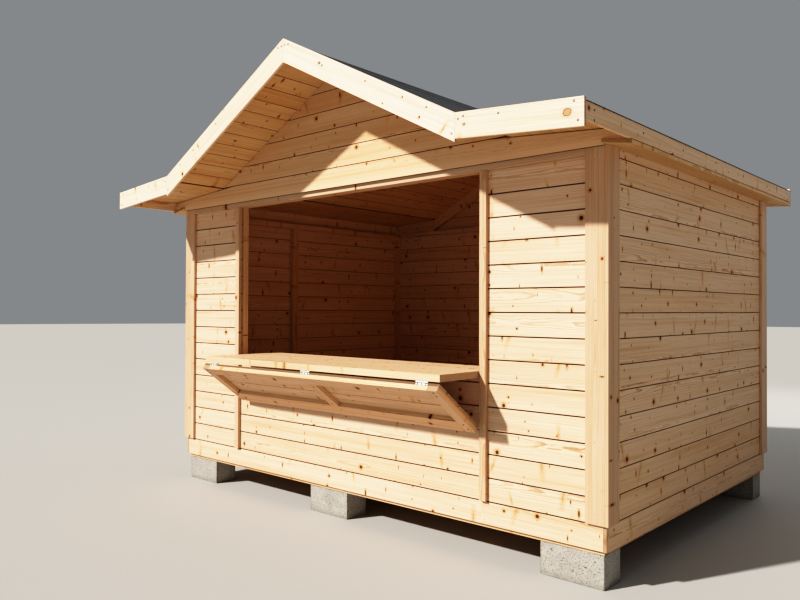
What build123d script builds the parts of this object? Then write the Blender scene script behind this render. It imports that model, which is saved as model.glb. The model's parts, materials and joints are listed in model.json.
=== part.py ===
"""Wooden market stall: boarded walls on concrete blocks, a serving opening with a fixed counter,
a hinged prop panel under the counter and a boarded roof that turns flatter over its eaves.

Millimetres, +Z up, ground at z = 0. The serving front faces -Y, +X is to the right of a customer,
and the origin lies on the ground under the middle of the whole part.
"""

from build123d import *
from math import cos, radians, sin
import os

# Ground blocks
block_length = 390
block_width = 190
block_height = 188
block_setback = 22
middle_block_x = -180

# Wall boards and their frame
wall_width = 3968
wall_depth = 2752
board_course = 140
course_count = 15
board_thickness = 20
stud_depth = 50
stud_width = 50
side_stud_width = 65
side_stud_y = 1166
base_drop = 22

# Floor
bearer_height = 150
joist_width = 50
joist_count = 7
floor_thickness = 28

# Plates under the roof
front_plate_height = 40
side_plate_height = 50
side_plate_rise = 20

# Trims
trim_thickness = 20
trim_width = 114
opening_batten_width = 48
opening_batten_thickness = 25

# Serving opening and counter
opening_width = 2394
opening_centre = -15
counter_top = 1118
counter_thickness = 42
counter_reach = 395
counter_inside = 305
counter_left_gap = 97
counter_right_gap = 2
sill_height = 50

# Prop panel, leaning from the counter's front edge back to the wall
flap_tilt = 36.8
flap_foot_gap = 24
flap_frame_thickness = 30
flap_board_thickness = 18
flap_top_rail = 78
flap_bottom_rail = 115
flap_stile = 75
flap_centre_stile_shift = 28

# Butt hinges between the counter and the prop panel
hinge_length = 88
hinge_left_inset = 118
hinge_right_inset = 127
hinge_middle_shift = 12
hinge_leaf = 17
leaf_thickness = 2
knuckle_radius = 5
pin_radius = 2
pin_clearance = 0.3
knuckle_gap = 0.5
axis_under_counter = 6
axis_before_counter = 3
flap_edge_gap = 6
leaf_clearance = 1

# Roof, measured at the top of its boards: steep down to the kink, flatter over the eaves
kink_inset = 574
kink_rise = 144
ridge_rise = 733
eaves_overhang = 168
eaves_fall = 54
front_overhang = 565
back_overhang = 133
deck_drop = 18
felt_thickness = 5
felt_lip = 5
rafter_thickness = 50
rafter_drop = 109

# Boards that edge the roof
barge_thickness = 20
barge_rise = 18
barge_drop = 137
eaves_barge_drop = 120
fascia_thickness = 20
soffit_thickness = 20
soffit_depth = 112
soffit_rise = 27
soffit_front = 62
gable_thickness = 25
gable_lap = 4

# Back door
door_x = 350
door_width = 800
door_head_drop = 94
door_thickness = 40
door_gap = 3
door_lap = 15
casing_width = 70
casing_thickness = 20
door_hinge_length = 100
door_hinge_leaf = 30
door_hinge_thickness = 3
door_knuckle_radius = 6
door_hinge_inset = 250
pull_height = 1100
pull_length = 160
pull_reach = 40
pull_radius = 6
pull_inset = 70
pull_foot_radius = 16
pull_foot_thickness = 4

# Places worked out from the sizes above
half_width = wall_width / 2
inner_x = half_width - board_thickness
frame_x = inner_x - stud_depth
roof_front = -(front_overhang + wall_depth + back_overhang) / 2
roof_back = -roof_front
wall_front = roof_front + front_overhang
wall_back = wall_front + wall_depth
inner_front = wall_front + board_thickness
inner_back = wall_back - board_thickness
frame_front = inner_front + stud_depth
frame_back = inner_back - stud_depth

wall_bottom = block_height + base_drop
base_top = wall_bottom + board_course
wall_top = wall_bottom + course_count * board_course
plate_top = wall_top + front_plate_height
joist_top = block_height + bearer_height
floor_top = joist_top + floor_thickness

opening_left = opening_centre - opening_width / 2
opening_right = opening_centre + opening_width / 2
counter_left = opening_left + counter_left_gap
counter_right = opening_right - counter_right_gap
counter_bottom = counter_top - counter_thickness
counter_front = wall_front - counter_reach
trim_inner_x = half_width - trim_width

kink_x = half_width - kink_inset
kink_height = plate_top + kink_rise
ridge_height = kink_height + ridge_rise
eaves_x = half_width + eaves_overhang
eaves_height = kink_height - eaves_fall
side_plate_bottom = wall_top - side_plate_height + side_plate_rise
fascia_inner_x = eaves_x - fascia_thickness
soffit_height = eaves_height - soffit_depth

door_left = door_x
door_right = door_x + door_width
door_top = wall_top - door_head_drop

axis_y = counter_front - axis_before_counter
axis_z = counter_bottom - axis_under_counter


def roof_height(x):
    """Height of the top of the roof boards at a distance x from the ridge."""
    x = abs(x)
    if x <= kink_x:
        return ridge_height - (ridge_height - kink_height) * x / kink_x
    return kink_height - (kink_height - eaves_height) * (x - kink_x) / (eaves_x - kink_x)


def roof_edge(x_from, x_to, drop):
    """Points of the roof line between two distances, lowered by a plumb drop."""
    turns = [x for x in (-kink_x, 0, kink_x) if x_from < x < x_to]
    return [(x, roof_height(x) - drop) for x in [x_from, *turns, x_to]]


def roof_band(x_from, x_to, top_drop, bottom_drop):
    """Outline of a board that follows the roof line, with plumb cuts at both ends."""
    return roof_edge(x_from, x_to, top_drop) + roof_edge(x_from, x_to, bottom_drop)[::-1]


def soffit_line(x):
    """Height of the underside of the sloping soffit board."""
    return soffit_height + soffit_rise * (eaves_x - abs(x)) / (eaves_x - half_width)


def upright(y):
    """Plane across the stall at y, drawn in X and Z, with its normal to the front."""
    return Plane(origin=(0, y, 0), x_dir=(1, 0, 0), z_dir=(0, -1, 0))


def plank(x, y, z):
    """Add one straight board or post between its low and high limits."""
    with BuildSketch(Plane.XY.offset(z[0])) as section:
        with Locations(((x[0] + x[1]) / 2, (y[0] + y[1]) / 2)):
            Rectangle(x[1] - x[0], y[1] - y[0])
    extrude(section.sketch, amount=z[1] - z[0])


def profile(points, y_from, y_to):
    """Add a board whose outline in X and Z runs straight back from y_from to y_to."""
    with BuildSketch(upright(y_from)) as section:
        with BuildLine():
            Polyline(*points, close=True)
        make_face()
    extrude(section.sketch, amount=y_from - y_to)


def keep(name, part):
    """Label a finished piece and write its file."""
    part.part.label = name
    export_step(part.part, f"parts/{name}.step")


os.makedirs("parts", exist_ok=True)

# Concrete blocks in two rows, under the front wall and under the back wall
block_x = half_width - block_setback - block_length / 2
block_front_y = wall_front + block_setback + block_width / 2
block_back_y = wall_back - block_setback - block_width / 2
with BuildPart() as foundation_blocks:
    with BuildSketch():
        for x in (-block_x, middle_block_x, block_x):
            with Locations((x, block_front_y), (x, block_back_y)):
                Rectangle(block_length, block_width)
    extrude(amount=block_height)
keep("foundation_blocks", foundation_blocks)

# Bearers lie on the blocks along the front and back
with BuildPart() as floor_bearers:
    plank((-inner_x, inner_x), (inner_front, frame_front), (block_height, joist_top))
    plank((-inner_x, inner_x), (frame_back, inner_back), (block_height, joist_top))
keep("floor_bearers", floor_bearers)

# Joists span between the bearers, the outer ones under the side walls
joist_pitch = (2 * inner_x - joist_width) / (joist_count - 1)
with BuildPart() as floor_joists:
    with BuildSketch(Plane.XY.offset(block_height)):
        with Locations((0, (frame_front + frame_back) / 2)):
            with GridLocations(joist_pitch, 0, joist_count, 1):
                Rectangle(joist_width, frame_back - frame_front)
    extrude(amount=bearer_height)
keep("floor_joists", floor_joists)

with BuildPart() as floor_boards:
    plank((-inner_x, inner_x), (inner_front, inner_back), (joist_top, floor_top))
keep("floor_boards", floor_boards)

# Front wall, split beside and below the serving opening
front_y = (wall_front, inner_front)
with BuildPart() as front_wall_left:
    plank((-inner_x, opening_left), front_y, (wall_bottom, wall_top))
keep("front_wall_left", front_wall_left)

with BuildPart() as front_wall_right:
    plank((opening_right, inner_x), front_y, (wall_bottom, wall_top))
keep("front_wall_right", front_wall_right)

with BuildPart() as front_wall_below:
    plank((opening_left, opening_right), front_y, (wall_bottom, counter_bottom))
keep("front_wall_below", front_wall_below)

# Side walls run up to the underside of the roof boards
for name, side in (("left_wall", -1), ("right_wall", 1)):
    near, far = sorted((side * inner_x, side * half_width))
    outline = [(near, wall_bottom), (far, wall_bottom)] + roof_edge(near, far, deck_drop)[::-1]
    with BuildPart() as side_wall:
        profile(outline, wall_front, wall_back)
    keep(name, side_wall)

# Back wall, split around the door
back_y = (inner_back, wall_back)
with BuildPart() as back_wall_left:
    plank((-inner_x, door_left), back_y, (wall_bottom, wall_top))
keep("back_wall_left", back_wall_left)

with BuildPart() as back_wall_right:
    plank((door_right, inner_x), back_y, (wall_bottom, wall_top))
keep("back_wall_right", back_wall_right)

with BuildPart() as back_wall_by_door:
    plank((door_left, door_right), back_y, (wall_bottom, floor_top))
    plank((door_left, door_right), back_y, (door_top, wall_top))
keep("back_wall_by_door", back_wall_by_door)

# Frame posts stand on the floor inside the boards
with BuildPart() as corner_posts:
    with BuildSketch(Plane.XY.offset(floor_top)):
        with Locations((0, (inner_front + inner_back) / 2)):
            with GridLocations(inner_x + frame_x, inner_back - inner_front - stud_depth, 2, 2):
                Rectangle(stud_depth, stud_depth)
    extrude(amount=wall_top - floor_top)
keep("corner_posts", corner_posts)

front_frame = (inner_front, frame_front)
back_frame = (frame_back, inner_back)
post_z = (floor_top, wall_top)
stud_y = (wall_front + side_stud_y - side_stud_width / 2, wall_front + side_stud_y + side_stud_width / 2)
side_stud_z = (floor_top, side_plate_bottom)
door_post_left = (door_left + door_lap - stud_width, door_left + door_lap)
door_post_right = (door_right - door_lap, door_right - door_lap + stud_width)
with BuildPart() as wall_studs:
    plank((opening_left - stud_width, opening_left), front_frame, post_z)
    plank((opening_right, opening_right + stud_width), front_frame, post_z)
    plank(door_post_left, back_frame, post_z)
    plank(door_post_right, back_frame, post_z)
    plank((-inner_x, -frame_x), stud_y, side_stud_z)
    plank((frame_x, inner_x), stud_y, side_stud_z)
keep("wall_studs", wall_studs)

with BuildPart() as sill_plate:
    plank((opening_left, opening_right), front_frame, (counter_bottom - sill_height, counter_bottom))
keep("sill_plate", sill_plate)

# Plates on the front and back walls: the edge that shows lies between the corner trims
for name, inner, outer in (
    ("front_top_plate", frame_front, wall_front),
    ("back_top_plate", frame_back, wall_back),
):
    edge = outer - trim_thickness if outer < inner else outer + trim_thickness
    half_plate = [(inner_x, inner), (inner_x, outer), (trim_inner_x, outer), (trim_inner_x, edge)]
    with BuildPart() as top_plate:
        with BuildSketch(Plane.XY.offset(wall_top)):
            with BuildLine():
                Polyline(*half_plate, *[(-x, y) for x, y in half_plate[::-1]], close=True)
            make_face()
        extrude(amount=front_plate_height)
    keep(name, top_plate)

side_plate_z = (side_plate_bottom, side_plate_bottom + side_plate_height)
with BuildPart() as side_top_plates:
    plank((frame_x, inner_x), (frame_front, frame_back), side_plate_z)
    plank((-inner_x, -frame_x), (frame_front, frame_back), side_plate_z)
keep("side_top_plates", side_top_plates)

# Gable boards hang in front of the rafters and lap over the plate's edge
gable_bottom = plate_top - gable_lap
gable_ends = [
    (fascia_inner_x, soffit_line(fascia_inner_x) + soffit_thickness),
    (half_width, soffit_line(half_width) + soffit_thickness),
    (half_width, gable_bottom),
]
gable_outline = roof_edge(-fascia_inner_x, fascia_inner_x, deck_drop)
gable_outline += gable_ends + [(-x, z) for x, z in gable_ends[::-1]]
for name, y_from in (
    ("front_gable", wall_front - trim_thickness - gable_thickness),
    ("back_gable", wall_back + trim_thickness),
):
    with BuildPart() as gable:
        profile(gable_outline, y_from, y_from + gable_thickness)
    keep(name, gable)

# Rafters behind each gable, cut level where they sit on the plate
steep_slope = (ridge_height - kink_height) / kink_x
rafter_foot_x = (ridge_height - deck_drop - rafter_drop - plate_top) / steep_slope
rafter_front_y = wall_front - trim_thickness
rafter_back_y = wall_back + trim_thickness - rafter_thickness
for name, side in (("rafters_left", -1), ("rafters_right", 1)):
    outline = roof_edge(0, inner_x, deck_drop) + [
        (inner_x, plate_top),
        (rafter_foot_x, plate_top),
        (0, ridge_height - deck_drop - rafter_drop),
    ]
    outline = [(side * x, z) for x, z in outline]
    with BuildPart() as rafters:
        profile(outline, rafter_front_y, rafter_front_y + rafter_thickness)
        profile(outline, rafter_back_y, rafter_back_y + rafter_thickness)
    keep(name, rafters)

# Roof boards, steep at the ridge and flatter over the eaves
deck_front = roof_front + barge_thickness
deck_back = roof_back - barge_thickness
for name, x_from, x_to in (("roof_boards_left", -kink_x, 0), ("roof_boards_right", 0, kink_x)):
    with BuildPart() as roof_boards:
        profile(roof_band(x_from, x_to, 0, deck_drop), deck_front, deck_back)
    keep(name, roof_boards)

with BuildPart() as eaves_boards:
    profile(roof_band(kink_x, fascia_inner_x, 0, deck_drop), deck_front, deck_back)
    mirror(about=Plane.YZ)
keep("eaves_boards", eaves_boards)

with BuildPart() as roof_felt:
    top = roof_edge(-eaves_x, eaves_x, -felt_thickness)
    lip = [
        (eaves_x + felt_lip, roof_height(eaves_x) + felt_thickness),
        (eaves_x + felt_lip, roof_height(eaves_x)),
    ]
    under = roof_edge(-eaves_x, eaves_x, 0)[::-1]
    profile(top + lip + under + [(-x, z) for x, z in lip[::-1]], deck_front, deck_back)
keep("roof_felt", roof_felt)

# Barge boards stand over the ends of the felt, with plumb joints at the ridge and at the kink
barge_faces = (("front", roof_front), ("back", roof_back - barge_thickness))
for face, y_from in barge_faces:
    for side, x_from, x_to in (("left", -kink_x, 0), ("right", 0, kink_x)):
        with BuildPart() as barge_board:
            profile(roof_band(x_from, x_to, -barge_rise, barge_drop), y_from, y_from + barge_thickness)
        keep(f"{face}_barge_{side}", barge_board)

with BuildPart() as eaves_barges:
    for face, y_from in barge_faces:
        profile(
            roof_band(kink_x, eaves_x, -barge_rise, eaves_barge_drop), y_from, y_from + barge_thickness
        )
    mirror(about=Plane.YZ)
keep("eaves_barges", eaves_barges)

# Fascias close the ends of the roof boards, soffits close the way from wall to fascia
with BuildPart() as eaves_fascias:
    fascia_outline = [
        (fascia_inner_x, soffit_line(fascia_inner_x) + soffit_thickness),
        (eaves_x, soffit_line(eaves_x) + soffit_thickness),
    ]
    profile(fascia_outline + roof_edge(fascia_inner_x, eaves_x, 0)[::-1], deck_front, deck_back)
    mirror(about=Plane.YZ)
keep("eaves_fascias", eaves_fascias)

with BuildPart() as eaves_soffits:
    lower = [(x, soffit_line(x)) for x in (half_width, eaves_x)]
    upper = [(x, z + soffit_thickness) for x, z in lower[::-1]]
    profile(lower + upper, wall_front - soffit_front, deck_back)
    mirror(about=Plane.YZ)
keep("eaves_soffits", eaves_soffits)

# Corner trims stand on the top edge of the lowest course
with BuildPart() as front_corner_trims:
    plank((trim_inner_x, half_width), (wall_front - trim_thickness, wall_front), (base_top, plate_top))
    mirror(about=Plane.YZ)
keep("front_corner_trims", front_corner_trims)

with BuildPart() as back_corner_trims:
    plank((trim_inner_x, half_width), (wall_back, wall_back + trim_thickness), (base_top, plate_top))
    mirror(about=Plane.YZ)
keep("back_corner_trims", back_corner_trims)

side_trim_top = soffit_line(half_width + trim_thickness)
side_trim_width = trim_width + trim_thickness
front_trim_y = (wall_front - trim_thickness, wall_front - trim_thickness + side_trim_width)
back_trim_y = (wall_back + trim_thickness - side_trim_width, wall_back + trim_thickness)
with BuildPart() as side_corner_trims:
    for trim_y in (front_trim_y, back_trim_y):
        plank((half_width, half_width + trim_thickness), trim_y, (base_top, side_trim_top))
    mirror(about=Plane.YZ)
keep("side_corner_trims", side_corner_trims)

batten_y = (wall_front - opening_batten_thickness, wall_front)
with BuildPart() as opening_battens:
    plank((opening_left - opening_batten_width, opening_left), batten_y, (base_top, wall_top))
    plank((opening_right, opening_right + opening_batten_width), batten_y, (base_top, wall_top))
keep("opening_battens", opening_battens)

# Counter board through the opening, lying on the sill
with BuildPart() as counter:
    plank(
        (counter_left, counter_right),
        (counter_front, wall_front + counter_inside),
        (counter_bottom, counter_top),
    )
keep("counter", counter)

# Prop panel, drawn on planes that lean with it: x across the stall, y down the slope
slope = (0, cos(radians(flap_tilt)), -sin(radians(flap_tilt)))
flap_inner_plane = Plane(origin=(0, axis_y, axis_z), x_dir=(1, 0, 0), z_dir=(0, slope[2], -slope[1]))
flap_middle_x = (counter_left + counter_right) / 2
flap_width = counter_right - counter_left
flap_length = (counter_reach + axis_before_counter - flap_foot_gap) / slope[1] - flap_edge_gap
window_length = flap_length - flap_top_rail - flap_bottom_rail
window_middle = -(flap_edge_gap + flap_top_rail + window_length / 2)
stile_left = flap_middle_x + flap_centre_stile_shift - flap_stile / 2
stile_right = stile_left + flap_stile
panel_middle = (flap_middle_x, -(flap_edge_gap + flap_length / 2))

with BuildPart() as flap_boards:
    with BuildSketch(flap_inner_plane):
        with Locations(panel_middle):
            Rectangle(flap_width, flap_length)
    extrude(amount=flap_board_thickness)
keep("flap_boards", flap_boards)

with BuildPart() as flap_frame:
    with BuildSketch(flap_inner_plane.offset(flap_board_thickness)):
        with Locations(panel_middle):
            Rectangle(flap_width, flap_length)
        for x_from, x_to in (
            (counter_left + flap_stile, stile_left),
            (stile_right, counter_right - flap_stile),
        ):
            with Locations(((x_from + x_to) / 2, window_middle)):
                Rectangle(x_to - x_from, window_length, mode=Mode.SUBTRACT)
    extrude(amount=flap_frame_thickness)
keep("flap_frame", flap_frame)

# Butt hinges: the leaf under the counter holds the pin and two knuckles, the leaf on the panel's
# top edge holds the knuckle between them
knuckle_length = hinge_length / 3
outer_knuckle_x = knuckle_length
leaf_relief = knuckle_radius + leaf_clearance
hinge_positions = (
    counter_left + hinge_left_inset,
    flap_middle_x + hinge_middle_shift,
    counter_right - hinge_right_inset,
)
axis_plane = Plane(origin=(0, axis_y, axis_z), x_dir=(0, 1, 0), z_dir=(1, 0, 0))
flap_plane = Plane(origin=(0, axis_y, axis_z), x_dir=slope, z_dir=(1, 0, 0))

with BuildPart() as counter_hinges:
    for x in hinge_positions:
        for shift in (-outer_knuckle_x, outer_knuckle_x):
            with BuildSketch(axis_plane.offset(x + shift)):
                Circle(knuckle_radius)
                with Locations((0, axis_under_counter)):
                    Rectangle(leaf_relief, leaf_thickness, align=(Align.MIN, Align.MAX))
            extrude(amount=knuckle_length / 2 - knuckle_gap / 2, both=True)
        with BuildSketch(axis_plane.offset(x)):
            with Locations((leaf_relief, axis_under_counter)):
                Rectangle(hinge_leaf - leaf_relief, leaf_thickness, align=(Align.MIN, Align.MAX))
        extrude(amount=hinge_length / 2 - knuckle_gap / 2, both=True)
        with BuildSketch(axis_plane.offset(x)):
            Circle(pin_radius)
        extrude(amount=hinge_length / 2, both=True)
keep("counter_hinges", counter_hinges)

with BuildPart() as flap_hinges:
    for x in hinge_positions:
        with BuildSketch(flap_plane.offset(x)):
            Circle(knuckle_radius)
            with Locations((flap_edge_gap, 0)):
                Rectangle(leaf_thickness, leaf_relief, align=(Align.MAX, Align.MAX))
            Circle(pin_radius + pin_clearance, mode=Mode.SUBTRACT)
        extrude(amount=knuckle_length / 2 - knuckle_gap / 2, both=True)
        with BuildSketch(flap_plane.offset(x)):
            with Locations((flap_edge_gap, -leaf_relief)):
                Rectangle(leaf_thickness, hinge_leaf - leaf_relief, align=(Align.MAX, Align.MAX))
        extrude(amount=hinge_length / 2 - knuckle_gap / 2, both=True)
keep("flap_hinges", flap_hinges)

# Back door, closed, with its boards flush with the casing around it
door_face = wall_back + casing_thickness
with BuildPart() as back_door:
    plank(
        (door_left + door_gap, door_right - door_gap),
        (door_face - door_thickness, door_face),
        (floor_top + door_gap, door_top - door_gap),
    )
keep("back_door", back_door)

with BuildPart() as door_casing:
    with BuildSketch(upright(wall_back)):
        with BuildLine():
            Polyline(
                (door_left, base_top),
                (door_left, door_top),
                (door_right, door_top),
                (door_right, base_top),
                (door_right + casing_width, base_top),
                (door_right + casing_width, door_top + casing_width),
                (door_left - casing_width, door_top + casing_width),
                (door_left - casing_width, base_top),
                close=True,
            )
        make_face()
    extrude(amount=-casing_thickness)
keep("door_casing", door_casing)

# Butt hinges on the door's outer face and a pull by its other edge
hinge_heights = (floor_top + door_hinge_inset, door_top - door_hinge_inset)
pull_x = door_left + pull_inset
with BuildPart() as door_hardware:
    for height in hinge_heights:
        with BuildSketch(Plane.XY.offset(height - door_hinge_length / 2)):
            with Locations((door_right, door_face)):
                Rectangle(
                    2 * door_hinge_leaf, door_hinge_thickness, align=(Align.CENTER, Align.MIN)
                )
                with Locations((0, door_knuckle_radius)):
                    Circle(door_knuckle_radius)
        extrude(amount=door_hinge_length)
    with BuildSketch(upright(door_face)):
        with Locations((pull_x, pull_height - pull_length / 2), (pull_x, pull_height + pull_length / 2)):
            Circle(pull_foot_radius)
    extrude(amount=-pull_foot_thickness)
    with BuildLine():
        pull_path = FilletPolyline(
            (pull_x, door_face, pull_height - pull_length / 2),
            (pull_x, door_face + pull_reach, pull_height - pull_length / 2),
            (pull_x, door_face + pull_reach, pull_height + pull_length / 2),
            (pull_x, door_face, pull_height + pull_length / 2),
            radius=pull_reach / 2,
        )
    with BuildSketch(Plane(origin=pull_path @ 0, z_dir=pull_path % 0)):
        Circle(pull_radius)
    sweep(path=pull_path)
keep("door_hardware", door_hardware)
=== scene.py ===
"""Looks of the wooden market stall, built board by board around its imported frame.

Every wooden piece is sawn from a planed blank or a tongued board and laid where the frame has its
solid. Each board carries its own grain coordinates, so rings, knots and fibres run along it and
through it like in solid pine. Lengths are metres, +Z is up and the serving front faces -Y.
"""

import json
import logging
import math
import random
from collections.abc import Callable, Iterable, Iterator, Mapping, Sequence
from contextlib import contextmanager
from dataclasses import dataclass, field
from enum import Enum

import bmesh
import bpy
import numpy as np
from mathutils import Matrix, Vector


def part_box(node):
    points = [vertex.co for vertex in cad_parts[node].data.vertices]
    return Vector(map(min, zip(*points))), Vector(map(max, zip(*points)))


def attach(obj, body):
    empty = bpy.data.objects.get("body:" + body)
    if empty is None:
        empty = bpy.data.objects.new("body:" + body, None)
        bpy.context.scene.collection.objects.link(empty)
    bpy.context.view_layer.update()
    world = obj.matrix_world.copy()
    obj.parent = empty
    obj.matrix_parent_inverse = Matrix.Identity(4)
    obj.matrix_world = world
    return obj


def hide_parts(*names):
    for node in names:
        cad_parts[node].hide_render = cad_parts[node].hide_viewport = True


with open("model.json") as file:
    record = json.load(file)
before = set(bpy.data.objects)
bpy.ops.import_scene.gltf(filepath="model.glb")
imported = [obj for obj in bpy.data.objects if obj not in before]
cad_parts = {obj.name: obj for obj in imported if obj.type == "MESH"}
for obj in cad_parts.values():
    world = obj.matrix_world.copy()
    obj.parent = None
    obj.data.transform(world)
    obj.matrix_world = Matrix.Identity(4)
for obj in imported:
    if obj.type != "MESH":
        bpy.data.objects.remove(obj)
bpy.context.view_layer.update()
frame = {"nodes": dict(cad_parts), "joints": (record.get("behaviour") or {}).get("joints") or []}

log = logging.getLogger("market_stall")

X = Vector((1.0, 0.0, 0.0))
Y = Vector((0.0, 1.0, 0.0))
Z = Vector((0.0, 0.0, 1.0))

# Points nearer than TOUCH count as one, and a face looks along a direction where the cosine between
# the two is over FACING.
TOUCH = 1e-5
FACING = 0.8

Colour = tuple[float, float, float]
Material = bpy.types.Material
Piece = bpy.types.Object


class Body(Enum):
    """Bodies of the frame that the pieces ride on."""

    STALL = "stall"
    FLAP = "flap"


class Slot(Enum):
    """Material slots of the record."""

    BOARDS = "pine_boards"
    FRAMING = "framing_timber"
    FELT = "felt"
    CONCRETE = "concrete"
    ZINC = "zinc"


class Joint(Enum):
    """How the two long edges of a wall board are worked."""

    TONGUE_AND_GROOVE = "tongue and groove"
    TONGUE_ONLY = "tongue only"
    GROOVE_ONLY = "groove only"

    @classmethod
    def at(cls, first: bool, last: bool) -> "Joint":
        """The joint of a board in a row whose tongues all point to its last board.

        Args:
            first: Whether the board is the first one.
            last: Whether it is the last one.

        Returns:
            The joint.
        """
        if last:
            return cls.GROOVE_ONLY
        return cls.TONGUE_ONLY if first else cls.TONGUE_AND_GROOVE


class Head(Enum):
    """Heads of the fixings that show."""

    NAIL = "nail"
    SCREW = "screw"


# --------------------------------------------------------------------------- shader expressions


def math_node(operation: str, swapped: bool = False) -> Callable[..., "Value"]:
    """An operator on values that adds one Math node.

    Args:
        operation: The node's operation.
        swapped: Whether the value is the second term.

    Returns:
        The operator, for the class below.
    """
    def apply(value: "Value", *others: "Value | float") -> "Value":
        """Add the node on its terms."""
        terms = (*others, value) if swapped else (value, *others)
        return value.shader.node("ShaderNodeMath", {"operation": operation},
                                 dict(enumerate(terms)))

    return apply


class Value:
    """A socket in a shader. Arithmetic on it adds the Math nodes."""

    __add__ = __radd__ = math_node("ADD")
    __sub__ = math_node("SUBTRACT")
    __rsub__ = math_node("SUBTRACT", swapped=True)
    __mul__ = __rmul__ = math_node("MULTIPLY")
    __truediv__ = math_node("DIVIDE")
    __pow__ = math_node("POWER")
    __gt__ = math_node("GREATER_THAN")
    root = math_node("SQRT")
    part = math_node("FRACT")
    most = math_node("MAXIMUM")

    def __init__(self, shader: "Shader", socket: bpy.types.NodeSocket) -> None:
        """Keep the shader that the socket belongs to."""
        self.shader = shader
        self.socket = socket

    def ease(self, low: "Value | float", high: "Value | float", start: float = 0.0,
             end: float = 1.0) -> "Value":
        """Smooth step from start at low to end at high."""
        return self.shader.node(
            "ShaderNodeMapRange", {"interpolation_type": "SMOOTHSTEP", "clamp": True},
            {"Value": self, "From Min": low, "From Max": high, "To Min": start, "To Max": end})


class Shader:
    """A node material that starts with a Principled BSDF and an output."""

    def __init__(self, name: str) -> None:
        """Make the empty material.

        Args:
            name: Name of the material.
        """
        self.material = bpy.data.materials.new(name)
        self.material.use_nodes = True
        self.tree = self.material.node_tree
        self.tree.nodes.clear()
        self.surface = self.tree.nodes.new("ShaderNodeBsdfPrincipled")
        output = self.tree.nodes.new("ShaderNodeOutputMaterial")
        self.tree.links.new(self.surface.outputs["BSDF"], output.inputs["Surface"])

    def raw(self, kind: str, settings: Mapping[str, object] | None = None,
            inputs: Mapping[str | int, object] | None = None) -> bpy.types.Node:
        """Add a node.

        Args:
            kind: The node's type.
            settings: Its properties.
            inputs: Values, or links from a Value, by socket name or index.

        Returns:
            The node.
        """
        node = self.tree.nodes.new(kind)
        for name, setting in (settings or {}).items():
            setattr(node, name, setting)
        for key, given in (inputs or {}).items():
            if isinstance(given, Value):
                self.tree.links.new(given.socket, node.inputs[key])
            else:
                node.inputs[key].default_value = given
        return node

    def node(self, kind: str, settings: Mapping[str, object] | None = None,
             inputs: Mapping[str | int, object] | None = None, output: str | int = 0) -> Value:
        """Add a node and return one of its outputs.

        Args:
            kind: The node's type.
            settings: Its properties.
            inputs: Values or links of its sockets.
            output: Name or index of the output.

        Returns:
            The output as a Value.
        """
        return Value(self, self.raw(kind, settings, inputs).outputs[output])

    def attribute(self, name: str, output: str = "Fac") -> Value:
        """An attribute of the mesh."""
        return self.node("ShaderNodeAttribute", {"attribute_name": name}, output=output)

    def spot(self) -> Value:
        """The place on the stall."""
        return self.node("ShaderNodeTexCoord", output="Object")

    def parts(self, vector: Value) -> tuple[Value, ...]:
        """The three parts of a vector."""
        split = self.raw("ShaderNodeSeparateXYZ", None, {0: vector})
        return tuple(Value(self, split.outputs[i]) for i in range(3))

    def mix(self, factor: Value | float, first: "Value | Colour", second: "Value | Colour",
            blend: str = "MIX") -> Value:
        """Blend two colours.

        Args:
            factor: Share of the second colour.
            first: The colour at factor 0.
            second: The colour at factor 1.
            blend: Blend mode.

        Returns:
            The blended colour.
        """
        ends = [c if isinstance(c, Value) else (*c, 1.0) for c in (first, second)]
        return self.node("ShaderNodeMix", {"data_type": "RGBA", "blend_type": blend},
                         {0: factor, 6: ends[0], 7: ends[1]}, output=2)

    def noise(self, vector: Value, scale: float, detail: float = 2.0,
              roughness: float = 0.5) -> Value:
        """Noise of about 0.5 on average at the given scale."""
        return self.node(
            "ShaderNodeTexNoise", {"noise_dimensions": "3D"},
            {"Vector": vector, "Scale": scale, "Detail": detail, "Roughness": roughness})

    def cells(self, vector: Value, scale: float, stray: float = 1.0,
              dimensions: str = "3D") -> tuple[Value, Value, tuple[Value, ...]]:
        """Cells round scattered places.

        Args:
            vector: Coordinates that they are drawn on.
            scale: Count of cells for each unit of length.
            stray: How far the places stray from an even grid.
            dimensions: "2D" or "3D".

        Returns:
            Distance from the nearest place, that place, and three chances of its own.
        """
        cell = self.raw("ShaderNodeTexVoronoi",
                        {"voronoi_dimensions": dimensions, "feature": "F1"},
                        {"Vector": vector, "Scale": scale, "Randomness": stray})
        distance, place, colour = (Value(self, cell.outputs[name])
                                   for name in ("Distance", "Position", "Color"))
        split = self.raw("ShaderNodeSeparateColor", None, {0: colour})
        return distance, place, tuple(Value(self, split.outputs[i]) for i in range(3))

    def stretch(self, vector: Value, scale: Sequence[float]) -> Value:
        """A vector multiplied part by part."""
        return self.node("ShaderNodeVectorMath", {"operation": "MULTIPLY"},
                         {0: vector, 1: tuple(scale)})

    def bump(self, height: Value, distance: float, strength: float = 1.0) -> None:
        """Feed a height in units of distance to the surface's normal."""
        normal = self.node("ShaderNodeBump", None,
                           {"Strength": strength, "Distance": distance, "Height": height})
        self.tree.links.new(normal.socket, self.surface.inputs["Normal"])

    def feed(self, **inputs: "Value | float | Colour") -> None:
        """Set or link the surface's sockets.

        Args:
            **inputs: Numbers, colours or Values by socket name, with _ for each space.
        """
        for name, given in inputs.items():
            socket = self.surface.inputs[name.replace("_", " ")]
            if isinstance(given, Value):
                self.tree.links.new(given.socket, socket)
            else:
                socket.default_value = (*given, 1.0) if isinstance(given, tuple) else given


# --------------------------------------------------------------------------- finishes


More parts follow.
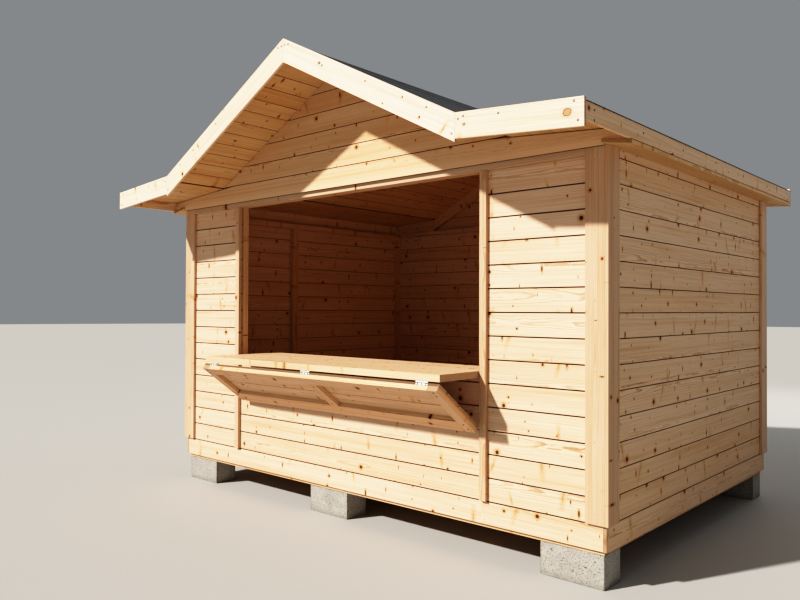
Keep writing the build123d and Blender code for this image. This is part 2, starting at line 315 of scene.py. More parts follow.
@dataclass(frozen=True)
class Pine:
    """Fresh planed pine, drawn in each board's own grain coordinates."""

    name: str
    early: Colour = (0.805, 0.565, 0.375)
    early_warm: Colour = (0.750, 0.490, 0.295)
    late: Colour = (0.370, 0.165, 0.058)
    amber: Colour = (0.470, 0.245, 0.100)
    knot: Colour = (0.075, 0.026, 0.010)
    knot_rim: Colour = (0.025, 0.009, 0.004)
    # Colour painted over the tongue and groove faces as shade in the joints between boards; weaker,
    # it also darkens end grain, which is the wood's own.
    joint_shade_and_end_grain: Colour = (0.145, 0.082, 0.044)
    streak_tint: Colour = (0.90, 0.74, 0.55)
    bend_tint: Colour = (0.88, 0.66, 0.42)
    halo_tint: Colour = (0.80, 0.52, 0.28)
    front_tint: Colour = (0.84, 0.60, 0.36)
    ring_strength: float = 0.90
    ring_width: float = 0.0044
    ring_sway: float = 0.036
    ring_waver: float = 0.0068
    knot_share: float = 0.62
    knot_along: float = 0.19
    knot_across: float = 0.070
    knot_least: float = 0.0036
    knot_spread: float = 0.0100
    knot_push: float = 0.010
    branch_share: float = 0.27
    branch_along: float = 0.34
    branch_across: float = 0.150
    branch_width: float = 0.0075
    branch_length: float = 0.034
    branch_push: float = 0.016
    branch_shift: float = 7.3
    streaks: float = 0.50
    roughness: float = 0.58
    gloss: float = 0.22
    relief: float = 0.0006
    front_knots: tuple[tuple[float, float, float, float], ...] = ()

    def material(self) -> Material:
        """Build the material.

        Returns:
            The material, which reads the attributes grain and tone, and the attribute that marks
            joint faces for painted shade and end grain for darker wood.
        """
        s = Shader(self.name)
        grain = s.attribute("grain", "Vector")
        tone = s.attribute("tone")
        joint_shade_and_end_grain = s.attribute("joint_shade_and_end_grain")
        _, across, through = s.parts(grain)

        knot, halo, core = self._knots(s, grain)
        branch, bend = self._branches(s, grain)
        sway = s.noise(s.stretch(grain, (0.9, 5.0, 5.0)), 1.0, 1.5) - 0.5
        waver = s.noise(s.stretch(grain, (7.0, 34.0, 34.0)), 1.0, 3.0) - 0.5
        radius = (across * across + through * through).root()
        radius = radius + sway * self.ring_sway + waver * self.ring_waver
        radius = radius + halo * self.knot_push + bend * self.branch_push
        turns = radius / self.ring_width
        ring = turns.part()
        year = s.node("ShaderNodeTexWhiteNoise", {"noise_dimensions": "1D"},
                      {"W": turns - ring}, output="Value")
        late = ring.ease(0.52, 0.90) * ring.ease(0.94, 1.0, 1.0, 0.0) * year.ease(0.0, 1.0, 0.30)

        fibre = s.noise(s.stretch(grain, (5.0, 420.0, 420.0)), 1.0, 2.0, 0.6)
        band = s.noise(s.stretch(grain, (1.3, 78.0, 78.0)), 1.0, 3.0, 0.6)
        streak = s.noise(s.stretch(grain, (0.55, 21.0, 21.0)), 1.0, 3.0, 0.55)
        blotch = s.noise(s.stretch(grain, (1.6, 6.0, 6.0)), 1.0, 2.0)

        warmth = (tone * 0.75 + (blotch - 0.5) * 1.1).ease(0.0, 1.0)
        base = s.mix(warmth, self.early, self.early_warm)
        base = s.mix(late * streak.ease(0.25, 0.75, 0.55, 1.0) * self.ring_strength,
                     base, self.late)
        base = s.mix(band.ease(0.46, 0.70) * 0.32, base, self.amber)
        base = s.mix(streak.ease(0.50, 0.72) * self.streaks, base, self.streak_tint, "MULTIPLY")
        base = s.mix(fibre.ease(0.35, 0.8) * 0.20, base, self.late)
        base = s.mix(bend * 0.55, base, self.bend_tint, "MULTIPLY")
        base = s.mix(halo * 0.85, base, self.halo_tint, "MULTIPLY")
        base = s.mix(branch, base, self.amber)
        base = s.mix(knot, base, s.mix(core, self.knot_rim, self.knot))
        for place in self.front_knots:
            base = self._front_knot(s, base, *place)
        # Painted shade: the faces inside the joints are darkened as if in shadow, and end grain is
        # darkened as real end grain is.
        base = s.mix(joint_shade_and_end_grain.ease(0.25, 0.95) * 0.96, base, self.joint_shade_and_end_grain)
        planed = fibre.ease(0.2, 0.8, self.roughness - 0.08, self.roughness + 0.12)
        s.feed(Base_Color=base, Roughness=planed.most(joint_shade_and_end_grain), Specular_IOR_Level=self.gloss)
        s.bump(late * 0.35 + fibre * 0.55 + knot * 0.8, self.relief, 0.55)
        return s.material

    def _front_knot(self, s: Shader, base: Value, x: float, z: float, radius: float,
                    dark: float) -> Value:
        """Lay one chosen knot on the stall's front.

        Args:
            s: The shader.
            base: The colour of the wood round it.
            x: Its place across the front.
            z: Its height.
            radius: Half of its width.
            dark: Share of dark wood in it.

        Returns:
            The colour with the knot in it.
        """
        spot = s.spot()
        right, back, up = s.parts(spot)
        run = right - x
        rise = (up - z) * 1.25
        front = 1.0 - (back > 0.0)
        uneven = s.noise(spot, 60.0, 2.0) - 0.5
        reach = (run * run + rise * rise).root() / radius + uneven * 0.5
        ring = (reach * 2.8).part().ease(0.45, 0.95)
        wood = s.mix((ring * 0.55).most(dark), self.amber, self.knot)
        rim = reach.ease(0.80, 0.98) * reach.ease(1.02, 1.20, 1.0, 0.0)
        base = s.mix(reach.ease(1.0, 2.2, 0.45, 0.0) * front, base, self.front_tint, "MULTIPLY")
        base = s.mix(reach.ease(0.92, 1.08, 0.80, 0.0) * front, base, wood)
        return s.mix(rim * 0.85 * front, base, self.knot)

    @staticmethod
    def _scattered(s: Shader, grain: Value, pitch_along: float, pitch_across: float,
                   shift: float) -> tuple[Value, ...]:
        """Scatter places over the board.

        Args:
            s: The shader.
            grain: The board's own coordinates.
            pitch_along: Mean distance between places along the board.
            pitch_across: Mean distance between places across the board.
            shift: Offset that sets this scatter apart from others.

        Returns:
            Distances along and across from the nearest place, and three chances of its own.
        """
        moved = s.node("ShaderNodeVectorMath", {"operation": "ADD"},
                       {0: grain, 1: (shift, shift, 0.0)})
        along, across, _ = s.parts(moved)
        grid = s.stretch(moved, (1.0 / pitch_along, 1.0 / pitch_across, 0.0))
        _, place, chances = s.cells(grid, 1.0, 0.85, "2D")
        column, line, _ = s.parts(place)
        return (along - column * pitch_along, across - line * pitch_across, *chances)

    def _knots(self, s: Shader, grain: Value) -> tuple[Value, Value, Value]:
        """Scatter knots: round ones and narrow spikes that lie across the board.

        Args:
            s: The shader.
            grain: The board's own coordinates.

        Returns:
            The knot's mask, the mask of the bent grain round it, and its paler inside.
        """
        run, rise, present, size, shape = self._scattered(
            s, grain, self.knot_along, self.knot_across, 0.0)
        uneven = s.noise(grain, 160.0, 2.0) - 0.5
        spike = shape > 0.50
        run = run * (spike * 1.1 + 1.0)
        rise = rise * (1.0 - spike * 0.35) + uneven * 0.002
        extent = size ** 3.0 * self.knot_spread + self.knot_least
        reach = (run * run + rise * rise).root() / extent + uneven * 0.45
        here = present > (1.0 - self.knot_share)
        knot = reach.ease(0.80, 1.15, 1.0, 0.0) * here
        halo = reach.ease(0.9, 3.0, 1.0, 0.0) * here
        core = reach.ease(0.30, 0.85, 1.0, 0.0) * size.ease(0.35, 0.8)
        return knot, halo, core

    def _branches(self, s: Shader, grain: Value) -> tuple[Value, Value]:
        """Scatter branches cut lengthwise: amber marks that run across the board.

        Args:
            s: The shader.
            grain: The board's own coordinates.

        Returns:
            The branch's mask and the mask of the bent grain beside it.
        """
        run, rise, present, size, lean = self._scattered(
            s, grain, self.branch_along, self.branch_across, self.branch_shift)
        uneven = s.noise(grain, 70.0, 3.0, 0.6) - 0.5
        run = run + rise * (lean - 0.5) * 0.9 + uneven * 0.006
        oval = ((run / self.branch_width) ** 2.0 + (rise / self.branch_length) ** 2.0).root()
        reach = oval / (size * 0.8 + 0.55) + uneven * 0.9
        here = present > (1.0 - self.branch_share)
        branch = reach.ease(0.35, 1.15, 0.92, 0.0) * here
        bend = reach.ease(0.8, 3.4, 1.0, 0.0) * here
        return branch, bend


@dataclass(frozen=True)
class Concrete:
    """Cast concrete with pale and dark aggregate and small air holes."""

    name: str = "cast_concrete"
    paste: Colour = (0.275, 0.250, 0.218)
    cloudy: Colour = (0.360, 0.330, 0.288)
    pale: Colour = (0.460, 0.425, 0.370)
    dark: Colour = (0.085, 0.078, 0.068)
    hole: Colour = (0.060, 0.055, 0.048)
    damp: Colour = (0.150, 0.134, 0.115)
    damp_height: float = 0.05
    relief: float = 0.0016

    def material(self) -> Material:
        """Build the material.

        Returns:
            The material.
        """
        s = Shader(self.name)
        spot = s.spot()
        height = s.parts(spot)[2]
        cloud = s.noise(spot, 9.0, 4.0, 0.6)
        sand = s.noise(spot, 260.0, 3.0, 0.7)
        distance, _, (picked, _, _) = s.cells(spot, 150.0)
        stone = distance.ease(0.30, 0.46, 1.0, 0.0)
        holes = s.noise(spot, 75.0, 2.0, 0.5).ease(0.66, 0.74)
        base = s.mix(cloud.ease(0.3, 0.7), self.paste, self.cloudy)
        base = s.mix(sand.ease(0.35, 0.75) * 0.5, base, self.pale)
        base = s.mix(stone * (picked > 0.72), base, self.dark)
        base = s.mix(stone * (1.0 - (picked > 0.24)), base, self.pale)
        base = s.mix(holes * 0.8, base, self.hole)
        base = s.mix(height.ease(0.0, self.damp_height, 0.45, 0.0), base, self.damp)
        s.feed(Base_Color=base, Roughness=sand.ease(0.2, 0.8, 0.82, 0.97), Specular_IOR_Level=0.3)
        s.bump(sand * 0.7 + cloud * 1.2 - holes * 2.2 + stone * 0.4, self.relief, 0.8)
        return s.material


@dataclass(frozen=True)
class Felt:
    """Mineral faced roofing felt: dark granules on bitumen."""

    name: str = "mineral_felt"
    bitumen: Colour = (0.018, 0.018, 0.020)
    granule: Colour = (0.082, 0.087, 0.096)
    dusty: Colour = (0.056, 0.059, 0.065)
    relief: float = 0.0012

    def material(self) -> Material:
        """Build the material.

        Returns:
            The material.
        """
        s = Shader(self.name)
        spot = s.spot()
        _, _, (_, speck, _) = s.cells(spot, 520.0)
        cloud = s.noise(s.stretch(spot, (1.0, 0.35, 1.0)), 5.0, 4.0, 0.6)
        worn = s.noise(spot, 38.0, 3.0, 0.65)
        base = s.mix(speck.ease(0.2, 1.0), self.bitumen, self.granule)
        base = s.mix(cloud.ease(0.35, 0.7) * 0.5, base, self.dusty)
        base = s.mix(worn.ease(0.62, 0.74) * 0.5, base, self.bitumen)
        s.feed(Base_Color=base, Roughness=worn.ease(0.3, 0.7, 0.96, 0.80), Specular_IOR_Level=0.35)
        s.bump(speck * 0.8 + cloud * 3.0, self.relief, 0.7)
        return s.material


@dataclass(frozen=True)
class Galvanised:
    """Zinc plated steel with a faint spangle."""

    name: str = "zinc_plate"
    light: Colour = (0.80, 0.80, 0.77)
    dull: Colour = (0.58, 0.59, 0.58)
    metallic: float = 0.88
    roughness: float = 0.42
    relief: float = 0.0003

    def material(self) -> Material:
        """Build the material.

        Returns:
            The material.
        """
        s = Shader(self.name)
        spot = s.spot()
        _, _, (flake, _, _) = s.cells(spot, 210.0)
        cloud = s.noise(spot, 60.0, 3.0, 0.6)
        shade = flake * 0.5 + cloud * 0.5
        s.feed(Base_Color=s.mix(shade.ease(0.25, 0.75), self.dull, self.light),
               Metallic=self.metallic,
               Roughness=shade.ease(0.2, 0.8, self.roughness + 0.1, self.roughness - 0.06))
        s.bump(cloud, self.relief, 0.4)
        return s.material


@dataclass(frozen=True)
class StudioFloor:
    """Plain pale floor."""

    name: str = "studio_floor"
    colour: Colour = (0.44, 0.42, 0.39)

    def material(self) -> Material:
        """Build the material.

        Returns:
            The material.
        """
        s = Shader(self.name)
        s.feed(Base_Color=self.colour, Roughness=0.9, Specular_IOR_Level=0.2)
        return s.material


@dataclass(frozen=True)
class Finishes:
    """All the materials of the stall, each built once."""

    boarding: Material = field(default_factory=Pine("pine_boarding").material)
    # A paler, less yellow copy of the boarding that paints the cooler sky light on the serving
    # front; its fewer knots are the wood's own.
    front: Material = field(default_factory=Pine(
        "pine_front_sky_light", early=(0.790, 0.572, 0.405), early_warm=(0.740, 0.500, 0.325),
        knot_share=0.44).material)
    # A darker copy of the boarding that paints half shade on the gables and on the prop panel's
    # frame.
    gable: Material = field(default_factory=Pine(
        "pine_half_shade", early=(0.755, 0.500, 0.305), early_warm=(0.700, 0.425, 0.230)).material)
    # A darker, warmer copy of the boarding that paints the shade under the roof: used on the roof
    # boards and soffits.
    painted_shade: Material = field(default_factory=Pine(
        "pine_painted_shade", early=(0.725, 0.460, 0.240), early_warm=(0.660, 0.385, 0.175),
        streaks=0.60, knot_share=0.40, branch_share=0.18).material)
    edging: Material = field(default_factory=Pine(
        "pine_edging", early=(0.850, 0.680, 0.520), early_warm=(0.810, 0.610, 0.425),
        ring_strength=0.45, knot_share=0.34, knot_along=0.32, branch_share=0.30, streaks=0.30,
        front_knots=((2.065, 2.397, 0.021, 0.10), (0.352, 3.006, 0.011, 0.85),
                     (0.378, 2.985, 0.007, 0.85), (1.470, 2.440, 0.009, 0.50))).material)
    planed: Material = field(default_factory=Pine(
        "pine_planed", early=(0.660, 0.455, 0.315), early_warm=(0.605, 0.390, 0.245),
        knot_share=0.42, knot_along=0.30, branch_share=0.16, streaks=0.85,
        ring_width=0.0060).material)
    framing: Material = field(default_factory=Pine(
        "pine_framing", early=(0.760, 0.500, 0.290), early_warm=(0.680, 0.405, 0.205),
        knot_share=0.50, ring_width=0.0050).material)
    concrete: Material = field(default_factory=Concrete().material)
    felt: Material = field(default_factory=Felt().material)
    zinc: Material = field(default_factory=Galvanised().material)
    nails: Material = field(default_factory=Galvanised(
        "nail_steel", light=(0.44, 0.36, 0.28), dull=(0.26, 0.21, 0.16), metallic=0.4,
        roughness=0.50).material)
    screws: Material = field(default_factory=Galvanised(
        "screw_steel", light=(0.030, 0.024, 0.018), dull=(0.012, 0.010, 0.008), metallic=0.2,
        roughness=0.65).material)


# --------------------------------------------------------------------------- modelling bench


@dataclass(frozen=True)
class Box:
    """A solid's lowest and highest corner."""

    low: Vector
    high: Vector

    @property
    def size(self) -> Vector:
        """Length of each side."""
        return self.high - self.low

    @property
    def middle(self) -> Vector:
        """The box's centre."""
        return (self.low + self.high) / 2


@dataclass(frozen=True)
class Lay:
    """Where a board lies: its middle, and the directions along, across and out through it."""

    middle: Vector
    along: Vector
    across: Vector

    @property
    def through(self) -> Vector:
        """Unit direction out of the board's face."""
        return self.along.cross(self.across).normalized()

    def matrix(self) -> Matrix:
        """Matrix from the board's own coordinates to the stall's."""
        columns = Matrix((self.along, self.across, self.through)).transposed()
        return Matrix.Translation(self.middle) @ columns.to_4x4()


class Bench:
    """The bench where blanks are made, shaped in edit mode, copied, sawn and joined."""

    @staticmethod
    def pick(*pieces: Piece) -> None:
        """Select objects alone.

        Args:
            *pieces: The objects. The first one becomes active.
        """
        bpy.ops.object.select_all(action="DESELECT")
        for piece in pieces:
            piece.select_set(True)
        bpy.context.view_layer.objects.active = pieces[0] if pieces else None

    @classmethod
    @contextmanager
    def editing(cls, piece: Piece, mode: str = "FACE") -> Iterator[bmesh.types.BMesh]:
        """Open a piece in edit mode with nothing selected.

        Args:
            piece: The object.
            mode: Select mode, VERT, EDGE or FACE.

        Yields:
            The edit mesh, for selecting by place or normal.
        """
        cls.pick(piece)
        bpy.ops.object.mode_set(mode="EDIT")
        bpy.ops.mesh.select_mode(type=mode)
        bpy.ops.mesh.select_all(action="DESELECT")
        yield bmesh.from_edit_mesh(piece.data)
        bpy.ops.object.mode_set(mode="OBJECT")

    @staticmethod
    def choose(piece: Piece, parts: Iterable[object],
               test: Callable[[object], bool]) -> None:
        """Select what passes a test in an open edit mesh.

        Args:
            piece: The object.
            parts: Its faces, edges or vertices.
            test: Says which of them to select.
        """
        for part in parts:
            part.select_set(test(part))
        bmesh.update_edit_mesh(piece.data)

    @classmethod
    def blank(cls, name: str, size: Sequence[float]) -> Piece:
        """A plain block about the origin, the start of every sawn piece.

        Args:
            name: Its name.
            size: Its length along X, Y and Z.

        Returns:
            The block, unscaled.
        """
        bpy.ops.object.select_all(action="DESELECT")
        bpy.ops.mesh.primitive_cube_add(size=1.0, scale=tuple(size))
        piece = bpy.context.object
        bpy.ops.object.transform_apply(location=False, rotation=False, scale=True)
        piece.name = name
        return piece

    @classmethod
    def modify(cls, piece: Piece, kind: str, **settings: object) -> None:
        """Add a modifier and apply it.

        Args:
            piece: The object.
            kind: The modifier's type.
            **settings: Its properties.
        """
        cls.pick(piece)
        modifier = piece.modifiers.new(kind.lower(), kind)
        for name, setting in settings.items():
            setattr(modifier, name, setting)
        bpy.ops.object.modifier_apply(modifier=modifier.name)

    @classmethod
    def saw(cls, piece: Piece, point: Vector, outward: Vector) -> None:
        """Cut away what lies beyond a plane, and close the cut.

        Args:
            piece: The object.
            point: A point on the plane.
            outward: Direction of what falls off.
        """
        with cls.editing(piece):
            bpy.ops.mesh.select_all(action="SELECT")
            bpy.ops.mesh.bisect(plane_co=point, plane_no=outward.normalized(), use_fill=True,
                                clear_outer=True, threshold=TOUCH)

    @classmethod
    def copy(cls, stock: Piece, name: str) -> Piece:
        """A copy of a stock piece with its own mesh.

        Args:
            stock: The stock piece.
            name: Name of the copy.

        Returns:
            The copy.
        """
        piece = bpy.data.objects.new(name, stock.data.copy())
        bpy.context.scene.collection.objects.link(piece)
        return piece

    @classmethod
    def join(cls, name: str, pieces: Sequence[Piece]) -> Piece:
        """Join pieces into one object at the origin.

        Args:
            name: Its name.
            pieces: The pieces, which are used up.

        Returns:
            The joined object.
        """
        cls.pick(*pieces)
        if len(pieces) > 1:
            bpy.ops.object.join()
        joined = bpy.context.object
        joined.name = joined.data.name = name
        return joined

    @staticmethod
    def put_away(*pieces: Piece) -> None:
        """Remove stock that isn't part of the stall."""
        for piece in pieces:
            bpy.data.objects.remove(piece)


def corners(piece: Piece) -> np.ndarray:
    """The vertices of a piece.

    Args:
        piece: The object.

    Returns:
        One row of X, Y and Z for each vertex.
    """
    flat = np.empty(len(piece.data.vertices) * 3)
    piece.data.vertices.foreach_get("co", flat)
    return flat.reshape(-1, 3)


def set_corners(piece: Piece, points: np.ndarray) -> None:
    """Move the vertices of a piece."""
    piece.data.vertices.foreach_set("co", points.ravel())
    piece.data.update()


def solids(node: str) -> list[Box]:
    """The box of each separate solid of a CAD node.

    Args:
        node: The node.

    Returns:
        The boxes, sorted by their lowest corner: by X, then Y, then Z.
    """
    mesh = frame["nodes"][node].data
    key = [tuple(round(c, 5) for c in v.co) for v in mesh.vertices]
    owner = {k: k for k in key}

    def top(k: tuple[float, ...]) -> tuple[float, ...]:
        """Follow a point to the one that stands for its solid.

        Args:
            k: The point.

        Returns:
            The point that stands for it.
        """
        while owner[k] != k:
            owner[k] = owner[owner[k]]
            k = owner[k]
        return k

    for edge in mesh.edges:
        first, second = (top(key[v]) for v in edge.vertices)
        owner[first] = second
    groups: dict[tuple[float, ...], list[Vector]] = {}
    for k in owner:
        groups.setdefault(top(k), []).append(Vector(k))
    boxes = [Box(Vector(map(min, *points)), Vector(map(max, *points)))
             for points in groups.values()]
    return sorted(boxes, key=lambda b: tuple(round(c, 3) for c in b.low))


@dataclass
class Timber:
    """Stock of planed blanks and tongued boards, and the saw that fits them to the stall."""

    arris: float = 0.0016
    groove_arris: float = 0.0015
    joint_gap: float = 0.0040
    tongue: float = 0.0105
    groove: float = 0.0120
    tongue_back: float = -0.0068
    tongue_front: float = -0.0034
    end_grain: float = 0.64
    flat_sawn: float = 0.62
    quarter_sawn_heart: tuple[float, float] = (0.10, 0.20)
    heart_depth: tuple[float, float] = (0.018, 0.070)
    log_length: float = 60.0
    stock_size: tuple[float, float, float] = (1.0, 0.10, 0.02)
    stock: dict[object, Piece] = field(default_factory=dict)
    draw: random.Random = field(default_factory=lambda: random.Random(2752))

    def planed_stock(self) -> Piece:
        """A planed board one metre long with eased arrises.

        Returns:
            The stock piece.
        """
        if "planed" not in self.stock:
            piece = Bench.blank("planed_stock", self.stock_size)
            Bench.modify(piece, "BEVEL", width=self.arris, segments=2, limit_method="NONE")
            self.stock["planed"] = piece
        return self.stock["planed"]

    def tongued_stock(self, joint: Joint) -> Piece:
        """A wall board one metre long, worked with a tongue, a groove or both.

        Args:
            joint: Which edges are worked.

        Returns:
            The stock piece, its face towards +Z and its tongue towards +Y.
        """
        if joint in self.stock:
            return self.stock[joint]
        piece = Bench.blank("tongued_stock", self.stock_size)
        _, half, face = (side / 2 for side in self.stock_size)
        centre = (self.tongue_back + self.tongue_front) / 2
        with Bench.editing(piece):
            for height in (self.tongue_back, self.tongue_front):
                bpy.ops.mesh.select_all(action="SELECT")
                bpy.ops.mesh.bisect(plane_co=(0, 0, height), plane_no=(0, 0, 1))
            for side, depth, plain in ((1, self.tongue, Joint.GROOVE_ONLY),
                                       (-1, self.groove, Joint.TONGUE_ONLY)):
                if joint is plain:
                    continue
                bpy.ops.mesh.select_all(action="DESELECT")
                mesh = bmesh.from_edit_mesh(piece.data)
                Bench.choose(piece, mesh.faces, lambda f, s=side: f.normal.y * s > FACING
                             and abs(f.calc_center_median().z - centre) < TOUCH)
                bpy.ops.mesh.extrude_region_move(
                    TRANSFORM_OT_translate={"value": (0, depth, 0)})
        with Bench.editing(piece, "EDGE") as mesh:
            Bench.choose(piece, mesh.edges, lambda e: all(
                abs(abs(v.co.y) - half) < TOUCH and abs(abs(v.co.z) - face) < TOUCH
                for v in e.verts) and abs(e.verts[0].co.x - e.verts[1].co.x) > 0.5)
            bpy.ops.mesh.bevel(offset=self.groove_arris, segments=1, affect="EDGES")
        # Mark the tongue and groove faces and long edges, where the material paints shade into the
        # joints.
        mesh = piece.data
        joint_shade_and_end_grain = [float(abs(face.normal.x) < 0.5 and abs(mesh.vertices[v].co.y) > half - TOUCH)
                for face in mesh.polygons for v in face.vertices]
        mesh.attributes.new("joint_shade_and_end_grain", "FLOAT", "CORNER").data.foreach_set("value", joint_shade_and_end_grain)
        self.stock[joint] = piece
        return piece

    def _stretched(self, stock: Piece, size: Sequence[float], lay: Lay) -> Piece:
        """Copy stock, pull its faces out to a size without widening its arrises, and lay it.

        Args:
            stock: The stock piece.
            size: Length, width and thickness.
            lay: Where the copy lies.

        Returns:
            The copy in its place.
        """
        piece = Bench.copy(stock, "board")
        points = corners(piece)
        for axis, (wanted, had) in enumerate(zip(size, self.stock_size)):
            column = points[:, axis]
            moved = np.sign(column) * (wanted - had) / 2
            if axis == 2:
                moved = np.where(np.abs(column) > -self.tongue_back + TOUCH, moved, 0.0)
            points[:, axis] = column + moved
        matrix = np.array(lay.matrix())
        set_corners(piece, points @ matrix[:3, :3].T + matrix[:3, 3])
        return piece

    def _grained(self, piece: Piece, lay: Lay, width: float) -> Piece:
        """Write the board's own grain coordinates and tone into its mesh.

        Args:
            piece: The board where it lies.
            lay: Where it lies.
            width: Its width, for the place of the tree's heart.

        Returns:
            The same board.
        """
        run = lay.along.normalized()
        rise = lay.through.cross(run).normalized()
        own = (corners(piece) - np.array(lay.middle)) @ np.array([run, rise, lay.through]).T
        draw = self.draw
        if draw.random() < self.flat_sawn:
            heart = draw.uniform(-0.5, 0.5) * width
        else:
            heart = draw.choice((-1, 1)) * draw.uniform(*self.quarter_sawn_heart)
        side = draw.choice((-1, 1))
        own += np.array([draw.uniform(-self.log_length, self.log_length), heart,
                         side * draw.uniform(*self.heart_depth)])
        mesh = piece.data
        mesh.attributes.new("grain", "FLOAT_VECTOR", "POINT").data.foreach_set(
            "vector", own.astype(np.float32).ravel())
        mesh.attributes.new("tone", "FLOAT", "POINT").data.foreach_set(
            "value", np.full(len(own), draw.random(), np.float32))
        self._darken_ends(mesh, run)
        return piece

    def _darken_ends(self, mesh: bpy.types.Mesh, run: Vector) -> None:
        """Mark the end grain of a board, which is darker than its faces.

        Args:
            mesh: The board's mesh.
            run: Direction of its grain.
        """
        # End grain shares the attribute that marks the joints' painted shade.
        joint_shade_and_end_grain = mesh.attributes.get("joint_shade_and_end_grain")
        if joint_shade_and_end_grain is None:
            joint_shade_and_end_grain = mesh.attributes.new("joint_shade_and_end_grain", "FLOAT", "CORNER")
        for face in mesh.polygons:
            if abs(face.normal.dot(run)) > FACING:
                for loop in face.loop_indices:
                    joint_shade_and_end_grain.data[loop].value = self.end_grain

    def planed(self, size: Sequence[float], lay: Lay) -> Piece:
        """A planed board.

        Args:
            size: Length, width and thickness.
            lay: Where it lies.

        Returns:
            The board in its place.
        """
        return self._grained(self._stretched(self.planed_stock(), size, lay), lay, size[1])

    def tongued(self, size: Sequence[float], lay: Lay, joint: Joint,
                cuts: Sequence[tuple[Vector, Vector]] = ()) -> Piece:
        """A tongued board, sawn off at planes.

        Args:
            size: Length, width of the body and thickness.
            lay: Where it lies.
            joint: Which edges are worked.
            cuts: Points and outward normals of the saw cuts.

        Returns:
            The board in its place.
        """
        piece = self._stretched(self.tongued_stock(joint), size, lay)
        for point, outward in cuts:
            Bench.saw(piece, point, outward)
        return self._grained(piece, lay, size[1])

    def from_box(self, box: Box) -> Piece:
        """A planed board that fills a box, its grain along the longest side.

        Args:
            box: The box.

        Returns:
            The board.
        """
        order = sorted(range(3), key=lambda i: -box.size[i])
        along, across = ((X, Y, Z)[i] for i in order[:2])
        return self.planed([box.size[i] for i in order], Lay(box.middle, along, across))

    def sawn(self, outline: Sequence[tuple[float, float]], depth: tuple[float, float],
             along: Vector) -> Piece:
        """A board with a convex outline in X and Z, sawn from a blank.

        Args:
            outline: The corners, in order round the outline.
            depth: Its lowest and highest Y.
            along: Direction of its grain.

        Returns:
            The board in its place, with eased arrises.
        """
        xs, zs = zip(*outline)
        low = Vector((min(xs), depth[0], min(zs)))
        high = Vector((max(xs), depth[1], max(zs)))
        piece = Bench.blank("board", high - low)
        set_corners(piece, corners(piece) + np.array((low + high) / 2))
        centre = Vector((sum(xs) / len(xs), 0, sum(zs) / len(zs)))
        for (x0, z0), (x1, z1) in zip(outline, (*outline[1:], outline[0])):
            if abs(x1 - x0) < TOUCH or abs(z1 - z0) < TOUCH:
                continue
            point = Vector((x0, 0, z0))
            outward = Vector((z1 - z0, 0, x0 - x1))
            if outward.dot(centre - point) > 0:
                outward = -outward
            Bench.saw(piece, point, outward)
        with Bench.editing(piece, "EDGE"):
            bpy.ops.mesh.select_all(action="SELECT")
            bpy.ops.mesh.bevel(offset=self.arris, segments=2, affect="EDGES")
        middle = Vector((centre.x, (depth[0] + depth[1]) / 2, centre.z))
        across = along.cross(Y) if abs(along.y) < 0.5 else X
        return self._grained(piece, Lay(middle, along, across), (high - low).z)

    def clear(self) -> None:
        """Put the stock away."""
        Bench.put_away(*self.stock.values())


@dataclass
class Fixings:
    """Nail and screw heads, turned once and copied to their places."""

    nail_radius: float = 0.0030
    nail_dish: float = 0.0002
    screw_radius: float = 0.0060
    screw_dish: float = 0.0016
    proud: float = 0.0008
    rim_share: float = 0.25
    rim_rise: float = 0.4
    depth: float = 0.003
    sides: int = 12
    stock: dict[Head, Piece] = field(default_factory=dict)
    places: dict[tuple[Head, Body], list[tuple[Vector, Vector]]] = field(default_factory=dict)

    def head(self, kind: Head) -> Piece:
        """The head of a nail or a screw, with its dished middle.

        Args:
            kind: Which of the two.

        Returns:
            The stock head, its outer face towards +Z.
        """
        if kind in self.stock:
            return self.stock[kind]
        radius, dish = {Head.NAIL: (self.nail_radius, self.nail_dish),
                        Head.SCREW: (self.screw_radius, self.screw_dish)}[kind]
        bpy.ops.object.select_all(action="DESELECT")
        bpy.ops.mesh.primitive_cylinder_add(vertices=self.sides, radius=radius, depth=self.depth)
        piece = bpy.context.object
        with Bench.editing(piece) as mesh:
            Bench.choose(piece, mesh.faces, lambda f: f.normal.z > FACING)
            bpy.ops.mesh.inset(thickness=radius * self.rim_share)
            bpy.ops.transform.translate(value=(0, 0, self.proud * self.rim_rise))
            bpy.ops.mesh.inset(thickness=radius * self.rim_share)
            bpy.ops.mesh.extrude_region_move(TRANSFORM_OT_translate={"value": (0, 0, -dish)})
        set_corners(piece, corners(piece) + np.array([0, 0, -self.depth / 2]))
        self.stock[kind] = piece
        return piece

    def drive(self, kind: Head, point: Vector, outward: Vector, body: Body = Body.STALL) -> None:
        """Note a place for a head on a surface."""
        self.places.setdefault((kind, body), []).append((point, outward.normalized()))

    def row(self, start: Vector, end: Vector, count: int, outward: Vector) -> None:
        """Note an even row of nails from start to end."""
        for i in range(count):
            self.drive(Head.NAIL, start.lerp(end, i / (count - 1)), outward)

    def fit(self, materials: Mapping[Head, Material]) -> None:
        """Set every head into its surface, one piece for each kind and body.

        Args:
            materials: Material of each kind.
        """
        for (kind, body), places in self.places.items():
            heads = []
            for point, outward in places:
                piece = Bench.copy(self.head(kind), kind.value)
                turn = np.array(outward.to_track_quat("Z", "Y").to_matrix())
                seat = np.array(point + outward * self.proud)
                set_corners(piece, corners(piece) @ turn.T + seat)
                heads.append(piece)
            joined = Bench.join(f"{body.value}_{kind.value}_heads", heads)
            finish_piece(joined, body, materials[kind])
        Bench.put_away(*self.stock.values())


def finish_piece(piece: Piece, body: Body,
                 material: Material, replaces: Sequence[str] = ()) -> None:
    """Dress a piece and let it ride on its body.

    Args:
        piece: The finished object.
        body: The body that it moves with.
        material: Its material.
        replaces: CAD nodes that it stands for.
    """
    piece.data.materials.clear()
    piece.data.materials.append(material)
    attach(piece, body.value)
    if replaces:
        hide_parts(*replaces)
    log.info("%s: %d faces on %s", piece.name, len(piece.data.polygons), body.value)


# --------------------------------------------------------------------------- sizes from the frame


